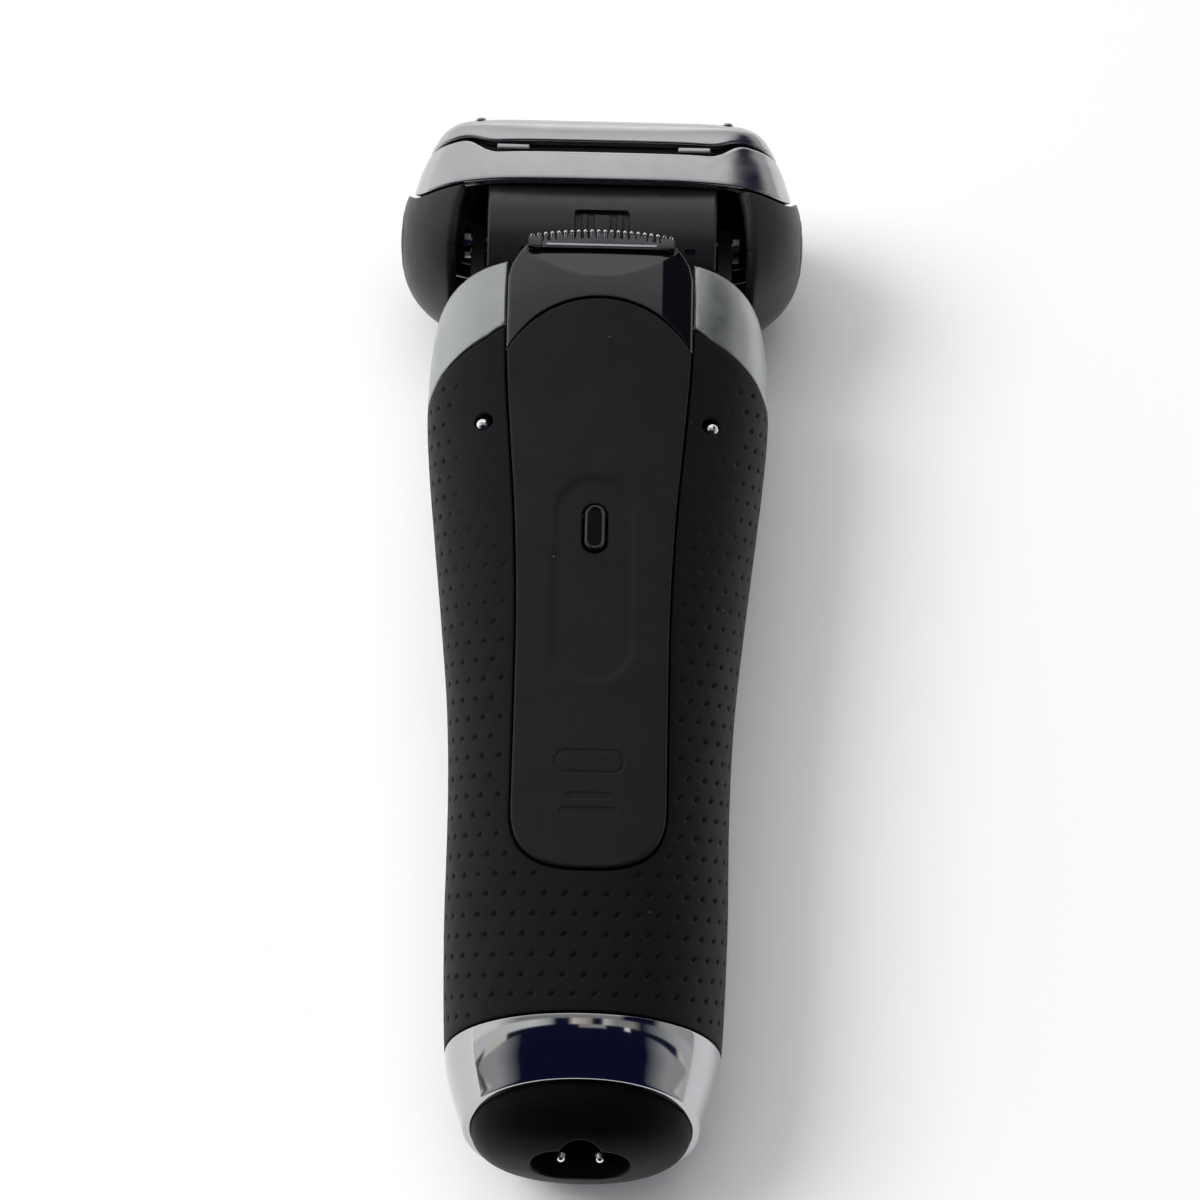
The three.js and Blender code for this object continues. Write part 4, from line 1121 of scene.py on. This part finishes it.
def make_clips():
    for side, name in SIDES:
        x = side * 14.4
        clip = [(x - 2.6, 7.9), (x + 2.6, 7.9), (x + 2.6, 8.8), (x - 2.6, 8.8)]
        points, faces = rounded_bar(clip, 15, 15.8, 0.25, 3)
        piece(f"clip_{name}", (points + [0, PIVOT_Y, PIVOT_Z], faces), "cassette", "blade_steel",
              f"foil_clip_{name}")


def make_foils():
    leg = FOIL_AXIS - 8.6
    bend = math.pi * FOIL_R
    for side, name in ((-1, "front"), (1, "rear")):
        centre = PIVOT_Z + side * FOIL_Z

        def place(u, v, centre=centre):
            turn = np.clip((v - leg) / bend, 0, 1) * math.pi
            past = np.maximum(v - leg - bend, 0)
            y = np.where(v < leg, v - leg, FOIL_R * np.sin(turn) - past)
            return join_axes(u, PIVOT_Y + FOIL_AXIS + y, centre + FOIL_R * np.cos(turn))

        skin = Skin(place, np.linspace(-FOIL_HALF, FOIL_HALF, 60), np.linspace(0, 2 * leg + bend, 60))
        outer = skin.points()
        solid = close(outer, skin.faces, outer - skin.normals() * 0.25, skin.faces, skin.border())
        piece(f"foil_sheet_{name}", solid, f"foil_unit_{name}", "foil_metal", f"foil_{name}")


# ---- controls on the front ----
def front_control(name, height, room, step, outline, radius, thickness, body, slot, node):
    """A control that faces down on the front, cut to its outline from a skin over room."""
    skin = plan(height, *room, step, turn=-1)
    piece(name, shell(skin, [outline], radius, thickness, down=(0, 0, 1)), body, slot, node)


def make_controls():
    bezel = [(5.3, 0.75), (5.45, 0.6), (5.7, 0.55), (6.1, 0.62), (6.3, 0.85), (6.3, 2.6), (5.3, 2.6)]
    piece("button_ring", lathe(bezel + bezel[:1], 72, "z", (0, 100, 0)), "handle", "chrome_band",
          "button_bezel")

    def dish(x, y):
        r = np.hypot(x, y - 100)
        return 1.15 - 0.25 * smooth(r / 4.6) + 0.12 * smooth(1 - np.abs(r - 2) / 0.4)

    def ribs(x, y):
        rib = smooth(1 - np.abs(np.mod(y - 126.8, 1.2) - 0.6) / 0.35)
        return 0.3 + 0.28 * rib * (np.abs(x) < 2.2)

    front_control("power_key", dish, ((-5.2, 5.2), (94.8, 105.2)), 0.3,
                  lambda p, uv: np.hypot(p[:, 0], p[:, 1] - 100) - 5, 0.35, 2.3,
                  "power_button", "housing", "power_button")
    front_control("display_lens", lambda x, y: 1.9 + 0 * x, ((-4.6, 4.6), (49, 75)), 0.5,
                  in_stadium(0, 62, 4.3, 12.3), 0.4, 1.7, "handle", "gloss_black", "display_window")
    front_control("lock_plate", lambda x, y: 1.5 + 0.1 * np.cos(y * 4), ((-4.2, 4.2), (123.6, 136.4)), 0.35,
                  in_stadium(0, 130, 4, 6.1), 0.2, 1.0, "handle", "dark_plastic", "lock_bed")
    front_control("lock_slider", ribs, ((-2.9, 2.9), (125, 132.2)), 0.15,
                  in_stadium(0, 128.6, 2.7, 3.4), 0.3, 0.9, "head_lock", "satin_silver", "head_lock_knob")


# ---- stage ----
def make_stage():
    floor = bpy.data.meshes.new("floor")
    floor.from_pydata([(-3, -3, 0), (3, -3, 0), (3, 3, 0), (-3, 3, 0)], [], [(0, 1, 2, 3)])
    pale = bpy.data.materials.new("pale_floor")
    pale.use_nodes = True
    shader = pale.node_tree.nodes["Principled BSDF"]
    feed(pale.node_tree, shader, {"Base Color": (0.93, 0.93, 0.93, 1), "Roughness": 0.9})
    floor.materials.append(pale)
    obj = bpy.data.objects.new("floor", floor)
    bpy.context.scene.collection.objects.link(obj)


def make_light(name, position, size, power):
    """A square light that shines on the origin and isn't seen in reflections."""
    lamp = bpy.data.lights.new(name, "AREA")
    lamp.size = size
    lamp.energy = power
    obj = bpy.data.objects.new(name, lamp)
    obj.location = position
    obj.rotation_euler = (-Vector(position)).to_track_quat("-Z", "Y").to_euler()
    obj.visible_glossy = False
    bpy.context.scene.collection.objects.link(obj)


def make_lights():
    make_light("key_left", (-2.0, 0.5, 2.2), 1.5, 62)
    make_light("soft_fill", (0, 0, 2.6), 2.6, 26)


def make_world():
    """A pale room: brightest low down, to the left and past the head, and dark to the right."""
    world = bpy.data.worlds.new("room")
    world.use_nodes = True
    bpy.context.scene.world = world
    tree = world.node_tree
    where = add_node(tree, "TexCoord", {}).outputs["Generated"]
    x, y, z = add_node(tree, "SeparateXYZ", {"Vector": where}).outputs

    def scale(source, low, high):
        return map_range(tree, source, low, high)

    def ramp(source, *stops):
        """Colours by direction: stops are (-1 to 1, colour or grey)."""
        stops = [((at + 1) / 2, color if isinstance(color, tuple) else [color] * 3) for at, color in stops]
        return color_ramp(tree, scale(source, -1, 1), stops)

    def blend(factor, a, b):
        return mix_colors(tree, factor, a, b)

    navy, cream, taupe = (0.006, 0.008, 0.03), (0.78, 0.72, 0.66), (0.36, 0.33, 0.3)
    overhead = ramp(y, (-1, 0.25), (0.05, 0.28), (0.3, 0.4), (0.5, 0.8), (0.65, 1))
    walls = ramp(x, (-1, 0.98), (-0.3, 0.8), (0.4, 0.55), (1, 0.45))
    room = blend(scale(z, 0.75, 0.45), overhead, walls)
    doorway = ramp(x, (-1, 0.0), (0.34, 0.0), (0.42, 1.0), (0.72, 1.0), (0.8, 0.0), (1, 0.0))
    shade = add_node(tree, "Math", {0: doorway, 1: scale(z, 0.3, 0.45)}, operation="MULTIPLY")
    room = blend(shade.outputs["Value"], room, (*navy, 1))
    room = blend(scale(y, 0.9, 0.98), room, (1.4, 1.4, 1.38, 1))
    ceiling = ramp(x, (-1, 0.75), (-0.5, 0.8), (-0.34, 0.5), (-0.26, navy), (-0.14, navy), (-0.08, cream),
                   (0.06, taupe), (0.09, navy), (0.16, navy), (0.2, 0.7), (0.32, 0.3), (0.5, taupe),
                   (0.6, navy), (0.8, 0.3), (1, 0.6))
    stripes = ramp(x, (-1, 0.7), (-0.97, 0.02), (-0.95, cream), (-0.79, cream), (-0.77, navy),
                   (-0.04, navy), (-0.03, taupe), (0.2, 0.35), (0.22, navy), (0.4, navy), (0.42, 0.9),
                   (0.46, 0.9), (0.48, navy), (0.92, navy), (0.95, cream), (1, 0.5))
    room = blend(scale(y, 0.0, -0.04), room, ceiling)
    room = blend(scale(y, -0.16, -0.19), room, stripes)
    rim = ramp(x, (-1, 0.4), (-0.85, 0.4), (-0.62, navy), (0.62, navy), (0.85, 0.4), (1, 0.4))
    room = blend(scale(y, -0.235, -0.255), room, rim)
    feed(tree, tree.nodes["Background"], {"Color": room})


PHOTO_PITCH, PHOTO_ROLL = math.radians(63.74), math.radians(1.3)
CAMERA_X, CAMERA_STATION, CAMERA_Z = 1, -149, 502


def make_camera():
    data = bpy.data.cameras.new("camera")
    data.lens, data.sensor_width = 105, 36
    data.clip_start, data.clip_end = 0.01, 20
    camera = bpy.data.objects.new("camera", data)
    camera.location = (CAMERA_X * MM, (CAMERA_STATION + FIRST_Y) * MM, CAMERA_Z * MM)
    look = Vector((0, math.cos(PHOTO_PITCH), -math.sin(PHOTO_PITCH)))
    turn = look.to_track_quat("-Z", "Y").to_matrix().to_4x4()
    camera.matrix_world = camera.matrix_world.Translation(camera.location) @ turn
    camera.rotation_euler.rotate_axis("Z", PHOTO_ROLL)
    bpy.context.scene.collection.objects.link(camera)
    bpy.context.scene.camera = camera


make_camera()
make_world()
make_lights()
make_stage()
bpy.context.scene.view_settings.view_transform = "Standard"
dress_cad_nodes()
make_grip()
make_front_shell()
make_foot_ring()
make_foot_cap()
make_socket_pins()
make_contacts()
make_pad()
make_carrier()
make_release_button()
make_comb()
make_blade()
make_core()
make_side_covers()
make_cassette_band()
make_foil_surround()
make_clips()
make_foils()
make_controls()
